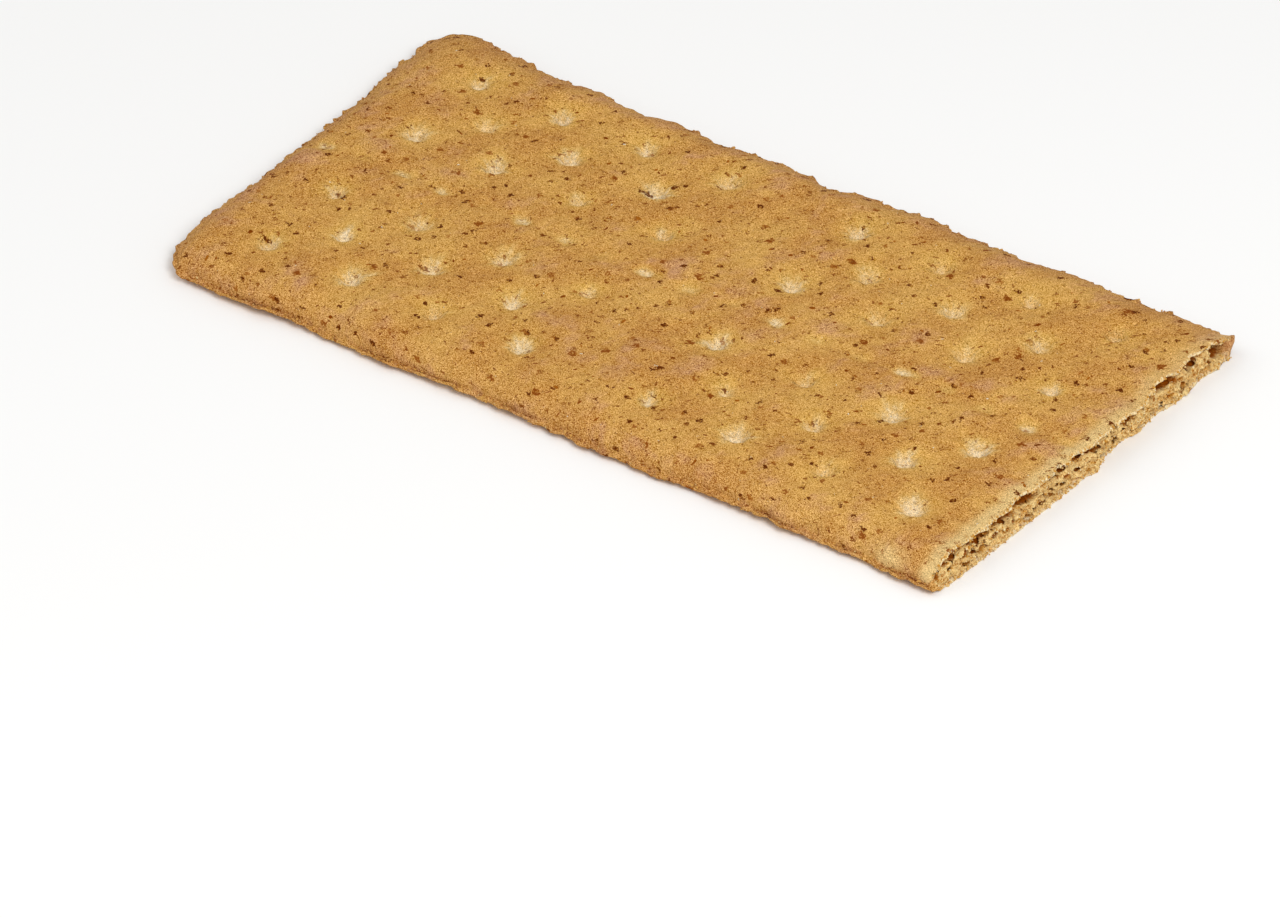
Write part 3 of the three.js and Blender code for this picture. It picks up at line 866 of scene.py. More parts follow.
def cave_ovals(bubble_random):
    """The long hollows, each a row of overlapping ovals, as centres and radii."""
    for y_cave, width, depth, height in CAVES:
        parts = 3 + int(width)
        side = (np.arange(parts) + 0.5) / parts - 0.5
        centres = y_cave + side * width
        edge = top_tear(centres)
        roof = skin_height(edge - 0.8, centres) - CRUMB_UNDER_SKIN
        for part in range(parts):
            wobble = bubble_random.normal(0, 0.12, 3)
            centre = np.array((edge[part] - 0.5, centres[part], roof[part] - 0.5 * height)) + wobble
            size = math.sqrt(max(0.15, 1 - (1.7 * side[part]) ** 2)) * bubble_random.uniform(0.75, 1.15)
            yield centre, (depth * size, 0.75 * width / parts + 0.35, 0.72 * height * size)


def bubble_ovals(bubble_random):
    """The pores, all over the face, as centres and radii."""
    bubble_y = bubble_random.uniform(-HALF_WIDTH + 1, HALF_WIDTH - 1, BUBBLES)
    bubble_share = bubble_random.uniform(0, 1, BUBBLES)
    bubble_x = torn_face(bubble_y, bubble_share) + bubble_random.uniform(*BUBBLE_DEPTHS, BUBBLES)
    roof = skin_height(bubble_x, bubble_y) - CRUMB_UNDER_SKIN
    bubble_z = mix(CRUMB_FLOOR, roof, bubble_share)
    radius = mostly_small(bubble_random, BUBBLES, *BUBBLE_RADII)
    wide = bubble_random.uniform(1, 1.9, BUBBLES)
    flat = bubble_random.uniform(0.55, 1, BUBBLES)
    for number in range(BUBBLES):
        centre = (bubble_x[number], bubble_y[number], bubble_z[number])
        yield centre, radius[number] * np.array((1.2, wide[number], flat[number]))


def carve_crumb():
    axes, grids, solid = crumb_block()
    bubble_random = np.random.default_rng(17)
    for ovals in (cave_ovals, bubble_ovals):
        for centre, radii in ovals(bubble_random):
            take_out(axes, grids, solid, centre, radii)
    return solid, [axis[0] for axis in axes]


crumb_depths, crumb_corner = carve_crumb()
print("crumb block:", crumb_depths.shape, "cubes,", int((crumb_depths > 0).sum()), "of them full")

# %% Crumb: mesh
NEAR_SURFACE = 0.3  # depths past this don't tell a cavity
FACE_DEPTH = 0.7  # loose grains only lie on the crumb out to this depth


def blurred(block, reach):
    """The block's mean over small cubes around each place, worked out along one axis at a time."""
    wide = 2 * reach + 1
    for axis in range(3):
        padding = [(reach + 1, reach) if axis == other else (0, 0) for other in range(3)]
        total = np.cumsum(np.pad(block, padding, "edge"), axis)
        count = total.shape[axis]
        block = (total.take(range(wide, count), axis) - total.take(range(count - wide), axis)) / wide
    return block


def make_crumb(solid, corner):
    volume = openvdb.FloatGrid(background=1.0)
    volume.copyFromArray(-solid.astype(np.float32))
    points, _, quads = volume.convertToPolygons(isovalue=0.0, adaptivity=0.0)
    near_surface = np.clip(solid, -NEAR_SURFACE, NEAR_SURFACE)
    hollow = blurred(near_surface, CAVITY_REACH) - near_surface
    cube = tuple(np.round(points).astype(int).T)
    cavity = hollow[cube]
    points = points * VOXEL + np.array(corner)
    mesh = bpy.data.meshes.new("cracker_crumb")
    mesh.vertices.add(len(points))
    mesh.loops.add(4 * len(quads))
    mesh.polygons.add(len(quads))
    mesh.loops.foreach_set("vertex_index", quads.astype(np.int32).ravel())
    mesh.polygons.foreach_set("loop_start", np.arange(0, 4 * len(quads), 4, dtype=np.int32))
    mesh.polygons.foreach_set("use_smooth", np.ones(len(quads), bool))
    mesh.update(calc_edges=True)
    crumb = bpy.data.objects.new("cracker_crumb", mesh)
    bpy.context.scene.collection.objects.link(crumb)
    plan_x, plan_y = plan_place(points[:, 0], points[:, 1])
    write_points(crumb, np.column_stack((plan_x, plan_y, points[:, 2])))
    share = np.clip((points[:, 2] - SHARE_START) / (SNAPPED_THICKNESS - 0.7), 0, 1)
    deep = mix(bottom_tear(points[:, 1]), top_tear(points[:, 1]), share) - points[:, 0]
    # deep and cavity drive the crumb's painted shade in hollows and far in, and its painted highlight on
    # lumps.
    paint(crumb, "deep", deep)
    paint(crumb, "cavity", cavity)
    on_face = np.flatnonzero((deep < FACE_DEPTH) & (cavity < 0) & (np.abs(points[:, 1]) < HALF_WIDTH - 1.2))
    return crumb, points[on_face]


crumb, crumb_face = make_crumb(crumb_depths, crumb_corner)
print("crumb:", len(crumb.data.vertices), "vertices,", len(crumb.data.polygons), "faces")

# %% [markdown]
# ## Flakes and grains
#
# Small scraps finish the shape: bran, baked flat into the skin, shreds of dough that the cutting
# rollers left along the lip, and the loose grains of a dry break. Thousands of them could be
# scattered by particles, but then none could be kept off the holes or set on an edge. So one plain
# disc and one plain grain are modelled and copied, and every copy gets its own outline, size and place.

# %% Flakes: one disc, many copies
DISC_SIDES = 14
DISC_TAPER = 0.86
RAGGEDNESS, RAG_SIZE = 0.42, 0.75


def make_disc():
    """A flat disc two units across and one unit thick, narrower on top; as points and faces."""
    deselect()
    bpy.ops.mesh.primitive_circle_add(vertices=DISC_SIDES, radius=1, fill_type="TRIFAN")
    disc = bpy.context.object
    bpy.ops.object.mode_set(mode="EDIT")
    bpy.ops.mesh.select_all(action="SELECT")
    bpy.ops.mesh.extrude_region_move(TRANSFORM_OT_translate={"value": (0, 0, 1)})
    bpy.ops.transform.resize(value=(DISC_TAPER, DISC_TAPER, 1))
    bpy.ops.mesh.select_all(action="SELECT")
    bpy.ops.mesh.normals_make_consistent(inside=False)
    deselect()
    points = read_points(disc)
    faces = [tuple(face.vertices) for face in disc.data.polygons]
    bpy.data.objects.remove(disc)
    return points, faces


DISC_POINTS, DISC_FACES = make_disc()


def ragged_discs(centres, lengths, widths, turns, thickness, seed):
    """Copies of the disc in the flat rectangle: their points, and the copy that each belongs to."""
    copies = len(centres)
    corners = len(DISC_POINTS)
    owner = np.repeat(np.arange(copies), corners)
    shape = np.tile(DISC_POINTS, (copies, 1))
    outline = np.column_stack((shape[:, 0], shape[:, 1], 3.1 * owner))
    ragged = 1 + RAGGEDNESS * noise(outline, RAG_SIZE, seed)
    off_x = shape[:, 0] * ragged * lengths[owner]
    off_y = shape[:, 1] * ragged * widths[owner]
    cos = np.cos(turns[owner])
    sin = np.sin(turns[owner])
    x = centres[owner, 0] + off_x * cos - off_y * sin
    y = centres[owner, 1] + off_x * sin + off_y * cos
    return x, y, shape[:, 2] * thickness[owner], owner, off_x, off_y


def make_copies(name, x, y, z, owner, tone, faces=DISC_FACES, corners=len(DISC_POINTS)):
    """One piece from many copies of the same few faces."""
    mesh = bpy.data.meshes.new(name)
    plan_x, plan_y = plan_place(x, y)
    points = np.column_stack((plan_x, plan_y, z)) * MM
    copies = owner.max() + 1
    all_faces = [tuple(index + copy * corners for index in face)
                 for copy in range(copies) for face in faces]
    mesh.from_pydata(points.tolist(), [], all_faces)
    piece = bpy.data.objects.new(name, mesh)
    bpy.context.scene.collection.objects.link(piece)
    paint(piece, "tone", tone[owner])
    return piece


print("disc:", len(DISC_FACES), "faces")

# %% Bran
BRAN = 380
BRAN_LENGTHS = (0.16, 0.52, 2.2)  # smallest, largest, and how much more of the small ones there are
BRAN_EDGE = 0.9  # none this near to the edges
BRAN_CLEARANCE = 2.2  # and none this near to a hole
BRAN_SUNK = 0.1


def make_bran():
    bran_random = np.random.default_rng(23)
    low = (-HALF_LENGTH + BRAN_EDGE, -HALF_WIDTH + BRAN_EDGE)
    high = (HALF_LENGTH - 1.3, HALF_WIDTH - BRAN_EDGE)
    places = bran_random.uniform(low, high, (BRAN, 2))
    # Bran gathers in patches, and the pale funnels have none.
    crowding = noise(flat_points(places[:, 0], places[:, 1]), 9, 71)
    keep = bran_random.uniform(-1, 0.6, BRAN) < crowding
    for number in range(len(HOLES)):
        keep[near_hole(places[:, 0], places[:, 1], number, BRAN_CLEARANCE)] = False
    places = places[keep]
    copies = len(places)
    lengths = mostly_small(bran_random, copies, *BRAN_LENGTHS)
    widths = lengths * bran_random.uniform(0.25, 0.7, copies)
    thickness = bran_random.uniform(0.11, 0.16, copies)
    turns = bran_random.normal(0.7, 0.7, copies)
    x, y, z, owner, _, _ = ragged_discs(places, lengths, widths, turns, thickness, 72)
    skin = skin_height(x, y)
    return make_copies("bran_flakes", x, y, skin - BRAN_SUNK + z, owner, bran_random.random(copies))


bran = make_bran()
print("bran:", len(bran.data.polygons), "faces")

# %% Lip shreds
SHREDS = 420
SHRED_LENGTHS = (0.2, 0.7, 2.5)
SHRED_TILTS = (0.08, 0.15)  # along its length and across, as slopes, and the steepest of them
STEEPEST_TILTS = (0.15, 0.25)
TABLE_CLEARANCE = 0.02
LIP_CLEARANCE = 7  # no scraps this near to the corners, where they would stick out


def lip_places(random, count, low, high):
    """Places along the three pinched edges, from low to high inside them, and each edge's direction."""
    long_edge = LENGTH - LIP_CLEARANCE - 1
    run = random.uniform(0, 2 * long_edge + WIDTH - 2 * LIP_CLEARANCE, count)
    inset = random.uniform(low, high, count)
    front = run < long_edge
    back = (run >= long_edge) & (run < 2 * long_edge)
    left = ~front & ~back
    x = np.where(front, HALF_LENGTH - 1 - run, HALF_LENGTH - 1 - (run - long_edge))
    x = np.where(left, -HALF_LENGTH + inset, x)
    y = np.where(front, -HALF_WIDTH + inset, HALF_WIDTH - inset)
    y = np.where(left, run - 2 * long_edge - HALF_WIDTH + LIP_CLEARANCE, y)
    teeth, outward = edge_teeth(x, y, lip_height(x, y))
    places = np.column_stack((x, y)) + teeth[:, None] * outward
    return places, inset, np.where(left, math.pi / 2, 0)


def make_shreds():
    shred_random = np.random.default_rng(29)
    places, inset, direction = lip_places(shred_random, SHREDS, 0.1, 0.6)
    turns = direction + shred_random.normal(0, 0.3, SHREDS)
    lengths = mostly_small(shred_random, SHREDS, *SHRED_LENGTHS)
    widths = shred_random.uniform(0.1, 0.24, SHREDS)
    thickness = shred_random.uniform(0.09, 0.16, SHREDS)
    x, y, z, owner, off_x, off_y = ragged_discs(places, lengths, widths, turns, thickness, 74)
    lift = lip_height(*places.T) - mix(0.15, 0.45, shred_random.random(SHREDS)) + 0.25 * inset
    tilt_x, tilt_y = (np.clip(shred_random.normal(0, tilt, SHREDS), -steepest, steepest)
                      for tilt, steepest in zip(SHRED_TILTS, STEEPEST_TILTS))
    z += lift[owner] + off_x * tilt_x[owner] + off_y * tilt_y[owner]
    z = np.maximum(z, TABLE_CLEARANCE)
    return make_copies("lip_shreds", x, y, z, owner, shred_random.random(SHREDS))


shreds = make_shreds()
print("lip shreds:", len(shreds.data.polygons), "faces")

# %% Grains on the break and along the lip
TEAR_GRAINS = 1500
FACE_GRAINS = 900
LIP_GRAINS = 1100
BREAK_GRAIN_RADII = (0.05, 0.18, 2)
LIP_GRAIN_RADII = (0.06, 0.18, 2)
UPPER_SHARE = 0.66  # how many of the torn edges' grains lie along the upper one


def make_grain():
    """An angular grain one unit in radius, as points and faces."""
    deselect()
    bpy.ops.mesh.primitive_ico_sphere_add(subdivisions=1, radius=1)
    grain = bpy.context.object
    points = read_points(grain)
    faces = [tuple(face.vertices) for face in grain.data.polygons]
    bpy.data.objects.remove(grain)
    return points, faces


def scatter_grains(name, places, radii, seed):
    """Copies of the grain at places, each stretched and knocked out of shape in its own way."""
    grain_random = np.random.default_rng(seed)
    shape, faces = make_grain()
    copies = len(places)
    corners = len(shape)
    knocked = shape[None] * grain_random.uniform(0.65, 1.25, (copies, corners, 1))
    knocked *= grain_random.uniform(0.7, 1.5, (copies, 1, 3)) * radii[:, None, None]
    points = (places[:, None] + knocked).reshape(-1, 3)
    owner = np.repeat(np.arange(copies), corners)
    tone = grain_random.random(copies)
    low = np.maximum(points[:, 2], TABLE_CLEARANCE)
    return make_copies(name, points[:, 0], points[:, 1], low, owner, tone, faces, corners)


def make_break_grains():
    break_random = np.random.default_rng(31)
    y = break_random.uniform(-HALF_WIDTH + 1, HALF_WIDTH - 1, TEAR_GRAINS)
    upper = break_random.random(TEAR_GRAINS) < UPPER_SHARE
    x = np.where(upper, top_tear(y), bottom_tear(y)) + break_random.normal(-0.08, 0.1, TEAR_GRAINS)
    above_table = break_random.uniform(0.1, 0.5, TEAR_GRAINS)
    below_skin = np.abs(break_random.normal(0.05, 0.22, TEAR_GRAINS))
    z = np.where(upper, skin_height(x, y) - below_skin, above_table)
    chosen = break_random.integers(0, len(crumb_face), FACE_GRAINS)
    places = np.vstack((np.column_stack((x, y, z)), crumb_face[chosen]))
    radii = mostly_small(break_random, len(places), *BREAK_GRAIN_RADII)
    return scatter_grains("break_grains", places, radii, 32)


def make_lip_grains():
    lip_random = np.random.default_rng(33)
    plan, inset, _ = lip_places(lip_random, LIP_GRAINS, 0.02, 0.5)
    lift = lip_height(*plan.T) + lip_random.uniform(-0.35, 0.12, LIP_GRAINS) + 0.3 * inset
    radii = mostly_small(lip_random, LIP_GRAINS, *LIP_GRAIN_RADII)
    return scatter_grains("lip_grains", np.column_stack((plan, lift)), radii, 34)


break_grains = make_break_grains()
lip_grains = make_lip_grains()
print("grains:", len(break_grains.data.polygons) + len(lip_grains.data.polygons), "faces")

# %% [markdown]
# ## Writing a material as sums
#
# A material is a graph of nodes, but most of it is arithmetic: a mask is one minus another, a colour
# is mixed by a product. One small class wraps a socket, so that such sums can be written as Python,
# and each adds its own Math node. Everything else goes through one method that adds any node.

# %% Material tools
MIX_FIRST, MIX_SECOND, MIX_RESULT = 6, 7, 2  # the colour sockets of a Mix node
SHEAR = 0.7  # how far a pattern in the plan slides for each millimetre of height
SPECK_EDGE = 0.035  # how soft a speck's edge is, in millimetres
HALO = (-0.14, 0.02)  # from where to where, past that edge, its halo fades
SHARE_EDGE = 0.002


def srgb(red, green, blue):
    """A colour as read off a screen, 0 to 255, in the linear numbers that a shader takes."""
    parts = (value / 255 for value in (red, green, blue))
    straight = (part / 12.92 if part <= 0.04045 else ((part + 0.055) / 1.055) ** 2.4 for part in parts)
    return (*straight, 1)


class Value:
    """A number or colour that changes over a surface."""

    def __init__(self, finish, socket):
        self.finish = finish
        self.socket = socket

    def sum(self, operation, first, second):
        return self.finish.node("ShaderNodeMath", {"operation": operation}, {0: first, 1: second})

    def __add__(self, other):
        return self.sum("ADD", self, other)

    def __sub__(self, other):
        return self.sum("SUBTRACT", self, other)

    def __rsub__(self, other):
        return self.sum("SUBTRACT", other, self)

    def __mul__(self, other):
        return self.sum("MULTIPLY", self, other)

    def __pow__(self, other):
        return self.sum("POWER", self, other)

    __radd__ = __add__
    __rmul__ = __mul__


class Finish:
    """A material being made."""

    def __init__(self, name):
        self.material = bpy.data.materials.new(name)
        self.material.use_nodes = True
        self.nodes = self.material.node_tree.nodes
        self.links = self.material.node_tree.links
        self.shader = self.nodes["Principled BSDF"]
        place = self.node("ShaderNodeTexCoord", output="Object")
        self.place = self.scaled(place, 1 / MM)

    def node(self, kind, settings=None, sockets=None, output=0):
        """Adds a node: its settings first, then the values or links of its sockets."""
        made = self.nodes.new(kind)
        for name, value in (settings or {}).items():
            setattr(made, name, value)
        for name, value in (sockets or {}).items():
            if isinstance(value, Value):
                self.links.new(value.socket, made.inputs[name])
            else:
                made.inputs[name].default_value = value
        return Value(self, made.outputs[output])

    def mark(self, name):
        """A number that the vertices keep."""
        return self.node("ShaderNodeAttribute", {"attribute_name": name}, output="Fac")

    def noise(self, size, detail=2.0, roughness=0.5, place=None):
        """Noise from 0 to 1, with bumps about size millimetres wide."""
        sockets = {"Scale": 1 / size, "Detail": detail, "Roughness": roughness}
        return self.node("ShaderNodeTexNoise", {}, {"Vector": place or self.place, **sockets}, "Fac")

    def step(self, value, low, high):
        """0 where the value is low, 1 where it is high, and smooth in between."""
        settings = {"interpolation_type": "SMOOTHSTEP"}
        sockets = {"Value": value, "From Min": low, "From Max": high}
        return self.node("ShaderNodeMapRange", settings, sockets)

    def blend(self, amount, first, second):
        """The first colour where the amount is 0, the second where it is 1."""
        sockets = {0: amount, MIX_FIRST: first, MIX_SECOND: second}
        return self.node("ShaderNodeMix", {"data_type": "RGBA"}, sockets, MIX_RESULT)

    def scaled(self, colour, amount):
        """The colour, or any vector, made larger or smaller."""
        return self.node("ShaderNodeVectorMath", {"operation": "SCALE"}, {0: colour, "Scale": amount})

    def tinted(self, colour, amount, tint):
        """The colour with some of a tint added, or taken away where the amount is below 0."""
        return self.multiplied(amount, tint, colour)

    def multiplied(self, first, second, added=(0, 0, 0)):
        """The product of two vectors, part by part, with a third added."""
        sockets = {0: first, 1: second, 2: added}
        return self.node("ShaderNodeVectorMath", {"operation": "MULTIPLY_ADD"}, sockets)

    def shifted(self, size, reach, stretch=(1, 1, 1), turn=0.0):
        """The plan, sheared to run down the sides too, pushed about by noise, turned and stretched."""
        sockets = {"Vector": self.place, "Scale": 1 / size, "Detail": 3.0}
        push = self.node("ShaderNodeTexNoise", {}, sockets, "Color")
        moved = self.multiplied(push, (reach,) * 3, self.place)
        x, y, z = (self.node("ShaderNodeSeparateXYZ", {}, {0: moved}, axis) for axis in range(3))
        plan = self.node("ShaderNodeCombineXYZ", {}, {0: x + z * SHEAR, 1: y + z * SHEAR})
        sockets = {"Vector": plan, "Angle": -turn}
        turned = self.node("ShaderNodeVectorRotate", {"rotation_type": "Z_AXIS"}, sockets)
        return self.multiplied(turned, stretch)

    def specks(self, pitch, share, low, high, place):
        """Ragged specks: a mask, a wider soft mask, and a random number for each. Share is how many
        cells of the pattern have one."""
        settings = {"voronoi_dimensions": "2D"}
        sockets = {"Vector": place, "Scale": 1 / pitch, "Randomness": 1.0}
        lots = self.node("ShaderNodeTexVoronoi", settings, sockets, "Color")
        away = Value(self, lots.socket.node.outputs["Distance"]) * pitch
        lot = self.node("ShaderNodeSeparateColor", {}, {0: lots}, 0)
        other_lot = self.node("ShaderNodeSeparateColor", {}, {0: lots}, 1)
        radius = other_lot * other_lot * (high - low) + low
        chosen = self.step(lot, 1 - share - SHARE_EDGE, 1 - share + SHARE_EDGE)
        inside = radius - away
        return self.step(inside, 0, SPECK_EDGE) * chosen, self.step(inside, *HALO) * chosen, other_lot

    def set(self, **sockets):
        """Links or sets sockets of the shader, named with underscores for spaces."""
        for name, value in sockets.items():
            socket = self.shader.inputs[name.replace("_", " ")]
            if isinstance(value, Value):
                self.links.new(value.socket, socket)
            else:
                socket.default_value = value

    def relief(self, height, strength=1.0):
        """Bumps whose height is in millimetres."""
        sockets = {"Height": height, "Distance": MM, "Strength": strength}
        self.set(Normal=self.node("ShaderNodeBump", {}, sockets))


def tell(material):
    print(material.name, "has", len(material.node_tree.nodes), "nodes")


print("middle grey as a linear number:", round(srgb(128, 128, 128)[0], 3))

# %% [markdown]
# ## The crust's finish
#
# The skin is golden tan, a little redder and darker where it baked longer, and paler in the funnels
# and along the break. Under a lens it is a fine mosaic of starch, so it is mottled at several scales.
# A picture of baked skin could be wrapped round it, but procedural noise has no seams and stays sharp
# at any distance.

# %% Crust finish
TAN = srgb(191, 137, 69)
GOLD = srgb(207, 159, 85)
ROSY_TAN = srgb(195, 145, 104)
RIM_BROWN = srgb(178, 127, 80)
BROWN = srgb(146, 92, 40)
AMBER = srgb(212, 166, 83)
CREAM = srgb(226, 206, 170)
PIT_GOLD = srgb(212, 174, 104)
BAND_CREAM = srgb(217, 184, 124)
# Pale torn crumb, paler than the crumb itself as a painted highlight along the break.
TORN_CREAM_AND_HIGHLIGHT = srgb(236, 217, 173)
SPECK_BROWN = srgb(128, 62, 4)
SPECK_DARK = srgb(84, 34, 0)
SPECK_ORANGE = srgb(164, 98, 26)
# Sugar crystals' white, bright enough to be their painted glint as well.
CRYSTAL_GLINT_WHITE = srgb(246, 232, 204)
GRAIN_TINT = (1.0, 0.69, 0.32)  # starch grains are paler or darker, not more or less yellow
CRUST_SPECULAR = 0.04  # baked dough hardly shines
WAVE_STRETCH, WAVE_TURN = (0.7, 1, 1), math.radians(69)


def baked_colour(finish, broad, cloudy, mottled, grain):
    """The skin's colour without its specks, and where it is rosy. It holds painted light on the funnels'
    far walls and the torn rims, and painted shade in the mouth and the lip's creases.
    """
    pit = finish.mark("pit")
    colour = finish.blend(finish.step(broad + (mottled - 0.5) * 0.3, 0.34, 0.68), TAN, GOLD)
    swell = finish.mark("swell") * 0.8 + (cloudy - 0.5) * 1.6 + (mottled - 0.5) * 0.4
    rosy = finish.step(swell, -0.1, 0.5)
    colour = finish.blend(rosy * 0.9, colour, ROSY_TAN)
    # Amber round the holes, shifted onto each funnel's lit far wall as painted light.
    colour = finish.blend(finish.mark("amber_and_lit_wall") * finish.step(cloudy, 0.3, 0.6) * 0.8, colour, AMBER)
    colour = finish.blend(finish.mark("rim") * finish.step(mottled, 0.2, 0.8) * 0.75, colour, RIM_BROWN)
    banded = finish.mark("band") * finish.step(mottled + (grain - 0.5) * 0.4, 0.1, 0.5)
    colour = finish.blend(banded, colour, BAND_CREAM)
    # Pale funnels, paler still up their lit far walls as painted light.
    uneven_pit = pit + pit * ((grain - 0.5) * 1.5 + (mottled - 0.5) * 0.7)
    colour = finish.blend(finish.step(uneven_pit, 0, 0.5) * 0.75, colour, PIT_GOLD)
    colour = finish.blend(finish.step(uneven_pit, 0.2, 0.95), colour, CREAM)
    for mark, amount, tint in (
        # Torn rims: pale crumb with a painted highlight.
        ("torn", finish.step(grain, 0.2, 0.6), TORN_CREAM_AND_HIGHLIGHT),
        # The mouth's inner walls: painted shade.
        ("inside", finish.step(grain, 0, 0.5), BROWN),
        ("lip", finish.step(mottled, 0.35, 0.7) * 0.3, BROWN),
        # The front lip's creases: painted shade.
        ("crease", finish.step(grain, 0.25, 0.5) * 0.8, SPECK_BROWN),
    ):
        colour = finish.blend(finish.mark(mark) * amount, colour, tint)
    return colour, rosy


print("tan skin as linear numbers:", [round(part, 3) for part in TAN])

# %% [markdown]
# The specks are bran and char: many pinpricks, some ragged brown chips, a few larger flecks with an
# orange halo, short dashes, and now and then a crystal of sugar, painted white enough to stand for its
# glint as well. Each kind has its own cell pattern: a cell either has a speck or has none, and noise
# bends the pattern so that no speck is round.

# %% Crust specks
SPECKS = {  # the pattern's pitch, the share of cells with a speck, the smallest and largest radius
    "prick": (1.0, 0.55, 0.06, 0.16),
    "chip": (2.1, 0.66, 0.12, 0.38),
    "fleck": (5.6, 0.66, 0.25, 0.56),
    "dash": (1.9, 0.3, 0.1, 0.3),
    "crystal": (4.3, 0.35, 0.06, 0.13),
}
DASH_TURN = math.radians(48)


def add_specks(finish, colour, cloudy, grain, dust):
    """The colour with its specks, and the masks of those that also show in the relief."""
    ragged = finish.shifted(0.35, 0.8)
    streaky = finish.shifted(0.5, 1.5, (1.1, 0.88, 1), DASH_TURN)
    dashed = finish.shifted(0.8, 0.9, (0.45, 2.1, 1), DASH_TURN)
    prick, _, prick_lot = finish.specks(*SPECKS["prick"], ragged)
    chip, chip_halo, chip_lot = finish.specks(*SPECKS["chip"], streaky)
    fleck, fleck_halo, fleck_lot = finish.specks(*SPECKS["fleck"], streaky)
    dash, _, dash_lot = finish.specks(*SPECKS["dash"], dashed)
    crystal, _, _ = finish.specks(*SPECKS["crystal"], ragged)
    open_skin = 1 - finish.mark("pit") * 0.6
    crowded = finish.step(cloudy, 0.36, 0.5)
    broken = finish.step(grain + (dust - 0.5) * 0.7, 0.34, 0.46)
    for mask, tint in (
        (chip_halo * open_skin * 0.5, SPECK_ORANGE),
        (fleck_halo * open_skin * 0.6, SPECK_ORANGE),
        (chip * open_skin * broken * (chip_lot * 0.35 + 0.65), SPECK_BROWN),
        (fleck * open_skin * broken * (fleck_lot * 0.45 + 0.5), SPECK_BROWN),
        (dash * open_skin * broken * (dash_lot * 0.4 + 0.5), SPECK_BROWN),
        (prick * open_skin * crowded * (prick_lot * 0.4 + 0.5), SPECK_BROWN),
        (finish.step(chip_lot, 0.6, 0.9) * chip * broken * 0.8, SPECK_DARK),
    ):
        colour = finish.blend(mask, colour, tint)
    return colour, prick, chip, crystal


def finish_crust():
    finish = Finish("baked_crust")
    wavy = finish.shifted(6, 3, WAVE_STRETCH, WAVE_TURN)
    broad = finish.noise(9, 3, 0.55, wavy)
    cloudy = finish.noise(3.6, 3, 0.6, wavy)
    mottled = finish.noise(1.3, 3, 0.6)
    grain = finish.noise(0.45, 2, 0.6)
    dust = finish.noise(0.2, 1, 0.5)
    sand = finish.noise(0.11, 0, 0.5)
    colour, rosy = baked_colour(finish, broad, cloudy, mottled, grain)
    colour = finish.scaled(colour, (grain - 0.5) * 0.15 + (mottled - 0.5) * 0.3 + 1.0)
    sandy = (grain - 0.5) * 0.08 + (dust - 0.5) * 0.55 + (sand - 0.5) * 1.15
    colour = finish.tinted(colour, sandy, GRAIN_TINT)
    colour, prick, chip, crystal = add_specks(finish, colour, cloudy, grain, dust)
    off_line = finish.noise(2.4, 2, 0.5, wavy) - 0.5
    hairline = finish.step(off_line * off_line, 0.0008, 0) * rosy * finish.step(grain, 0.45, 0.6)
    colour = finish.blend(hairline * 0.8, colour, BROWN)
    # Sugar crystals, painted white as their own glints.
    colour = finish.blend(crystal * 0.9, colour, CRYSTAL_GLINT_WHITE)
    skin = grain * 0.09 + dust * 0.06 + mottled * 0.17
    finish.relief(skin + crystal * 0.05 - prick * 0.06 - chip * 0.05)
    finish.set(Base_Color=colour, Roughness=finish.step(cloudy, 0.2, 0.8) * 0.14 + 0.68)
    finish.set(Specular_IOR_Level=CRUST_SPECULAR)
    return finish.material


crust_finish = finish_crust()
tell(crust_finish)

# %% [markdown]
# The crumb is paler than the crust, cream in clouds and yellow in its layers. Extra cream on what
# stands out is a painted highlight, and the brown in its pores, hollows and far in behind the torn face
# is painted shade. The scraps share its colours or the crust's.

# %% Crumb finish
# The crumb's cream, also used as a painted highlight on its lumps.
CRUMB_CREAM_AND_HIGHLIGHT = srgb(233, 203, 140)
CRUMB_YELLOW = srgb(198, 143, 60)
CRUMB_TAN = srgb(164, 106, 36)
# Painted shade in the crumb's hollows and far in behind its face.
CRUMB_PAINTED_SHADE = srgb(140, 70, 8)
LAYER_STRETCH = (0.5, 0.35, 1.5)  # the flaky layers lie flat


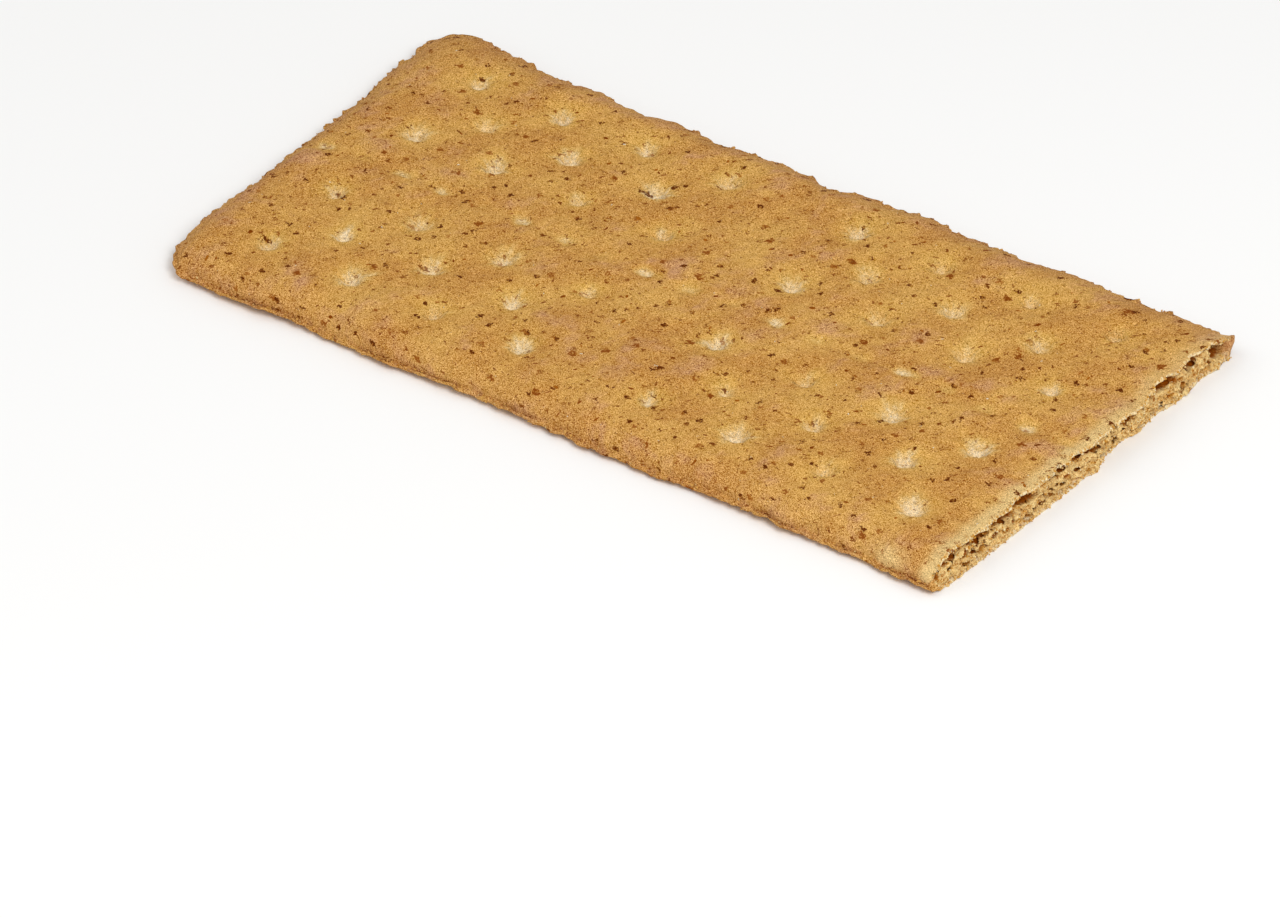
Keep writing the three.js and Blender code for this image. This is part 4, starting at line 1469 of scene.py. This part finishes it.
def finish_crumb():
    finish = Finish("broken_crumb")
    deep = finish.mark("deep")
    cavity = finish.mark("cavity")
    layered = finish.noise(0.9, 3, 0.6, finish.multiplied(finish.place, LAYER_STRETCH))
    cloudy = finish.noise(2.2, 3, 0.6)
    grain = finish.noise(0.3, 2, 0.6)
    dust = finish.noise(0.14, 1, 0.5)
    colour = finish.blend(finish.step(layered, 0.4, 0.62), CRUMB_TAN, CRUMB_YELLOW)
    pale_cloud = finish.step(cloudy + (grain - 0.5) * 0.7, 0.44, 0.66)
    # Painted shade in concave hollows.
    hollow = finish.step(cavity + (grain - 0.5) * 0.06, 0, 0.075)
    # Painted highlight on convex lumps.
    raised = finish.step(cavity + (grain - 0.5) * 0.05, -0.015, -0.09)
    # Painted shade far in behind the torn face.
    shade_far_in = finish.step(deep + (grain - 0.5) * 0.5, 0.5, 1.3)
    speck = finish.step(finish.noise(0.6, 1), 0.66, 0.72)
    for mask, tint in (
        (pale_cloud * 0.9, CRUMB_CREAM_AND_HIGHLIGHT),
        (hollow * 0.85, CRUMB_PAINTED_SHADE),
        (raised * 0.6, CRUMB_CREAM_AND_HIGHLIGHT),
        (shade_far_in * 0.95, CRUMB_PAINTED_SHADE),
        (speck * 0.6, SPECK_ORANGE),
    ):
        colour = finish.blend(mask, colour, tint)
    colour = finish.scaled(colour, (grain - 0.5) * 1.0 + (dust - 0.5) * 0.9 + 1.0)
    finish.relief(grain * 0.14 + dust * 0.06)
    finish.set(Base_Color=colour, Roughness=0.85, Specular_IOR_Level=0)
    return finish.material


crumb_finish = finish_crumb()
tell(crumb_finish)

# %% Bran, shred and grain finishes


def finish_bran():
    finish = Finish("bran")
    tone = finish.mark("tone")
    grain = finish.noise(0.22, 2, 0.6)
    colour = finish.blend(finish.step(tone, 0.3, 0.9), SPECK_BROWN, SPECK_ORANGE)
    colour = finish.blend(finish.step(grain, 0.5, 0.7) * 0.7, colour, SPECK_DARK)
    finish.relief(grain * 0.05)
    finish.set(Base_Color=colour, Roughness=0.7, Specular_IOR_Level=0.02)
    return finish.material


def finish_scraps(name, dark, light, palest):
    """For shreds and grains: from dark to light by their tone, and a few of the palest."""
    finish = Finish(name)
    tone = finish.mark("tone")
    grain = finish.noise(0.3, 2, 0.6)
    colour = finish.blend(finish.step(tone, 0.1, 0.85), dark, light)
    colour = finish.blend(finish.step(tone, 0.86, 0.9), colour, palest)
    colour = finish.scaled(colour, (grain - 0.5) * 0.5 + 1.0)
    finish.relief(grain * 0.08)
    finish.set(Base_Color=colour, Roughness=0.75, Specular_IOR_Level=0.04)
    return finish.material


for piece, material in (
    (crust, crust_finish),
    (crumb, crumb_finish),
    (bran, finish_bran()),
    (shreds, finish_scraps("lip_shred", BROWN, GOLD, GOLD)),
    (lip_grains, finish_scraps("lip_grain", RIM_BROWN, GOLD, BAND_CREAM)),
    # The palest crumb grains are painted highlights too.
    (break_grains, finish_scraps("crumb_grain", CRUMB_YELLOW, CRUMB_CREAM_AND_HIGHLIGHT, TORN_CREAM_AND_HIGHLIGHT)),
):
    piece.data.materials.clear()
    piece.data.materials.append(material)
    print(piece.name, "is finished in", material.name)

# %% [markdown]
# ## Floor and light
#
# The cracker lies on a plain pale floor. The light is soft and nearly white from all round, with one
# large lamp high on the right of the camera and a weak one on its left, so that each funnel's far wall
# is bright and its near edge drops into shade.

# %% Floor and light
FLOOR_SIZE = 4.0
FLOOR_WHITE = (0.96, 0.96, 0.955, 1)
SKY_WHITE = (1, 0.995, 0.985, 1)
SKY_STRENGTH = 0.56


def add_floor():
    deselect()
    bpy.ops.mesh.primitive_plane_add(size=FLOOR_SIZE, location=(0, 0, 0))
    floor = bpy.context.object
    floor.name = "floor"
    finish = Finish("pale_floor")
    finish.set(Base_Color=FLOOR_WHITE, Roughness=0.9, Specular_IOR_Level=0.1)
    floor.data.materials.append(finish.material)


def add_lamp(name, azimuth, elevation, distance, size, power):
    """A square lamp that looks at the cracker. Its azimuth is counted as the camera's is."""
    turn = math.radians(azimuth)
    rise = math.radians(elevation)
    lamp_data = bpy.data.lights.new(name, "AREA")
    lamp_data.shape = "SQUARE"
    lamp_data.size = size
    lamp_data.energy = power
    lamp = bpy.data.objects.new(name, lamp_data)
    way = np.array((math.sin(turn) * math.cos(rise), -math.cos(turn) * math.cos(rise), math.sin(rise)))
    lamp.location = way * distance
    lamp.rotation_euler = (math.pi / 2 - rise, 0, turn)
    bpy.context.scene.collection.objects.link(lamp)


def add_sky():
    world = bpy.data.worlds.new("soft_white")
    world.use_nodes = True
    background = world.node_tree.nodes["Background"]
    background.inputs["Color"].default_value = SKY_WHITE
    background.inputs["Strength"].default_value = SKY_STRENGTH
    bpy.context.scene.world = world


add_floor()
add_sky()
add_lamp("key_lamp", azimuth=60, elevation=45, distance=0.9, size=0.4, power=4.4)
add_lamp("fill_lamp", azimuth=-60, elevation=45, distance=1.0, size=0.8, power=1.6)
bpy.context.scene.view_settings.view_transform = "Standard"

# %% [markdown]
# ## Hand over to the frame
#
# Every piece rides on the part's one body. The crust stands for the CAD solid, which stays in use for
# collision and weight.

# %% Ride, and hide the CAD solid
for piece in (crust, crumb, bran, shreds, lip_grains, break_grains):
    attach(piece, "root")
    "crumb" if piece in (crumb, break_grains) else "crust"
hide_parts("cracker")
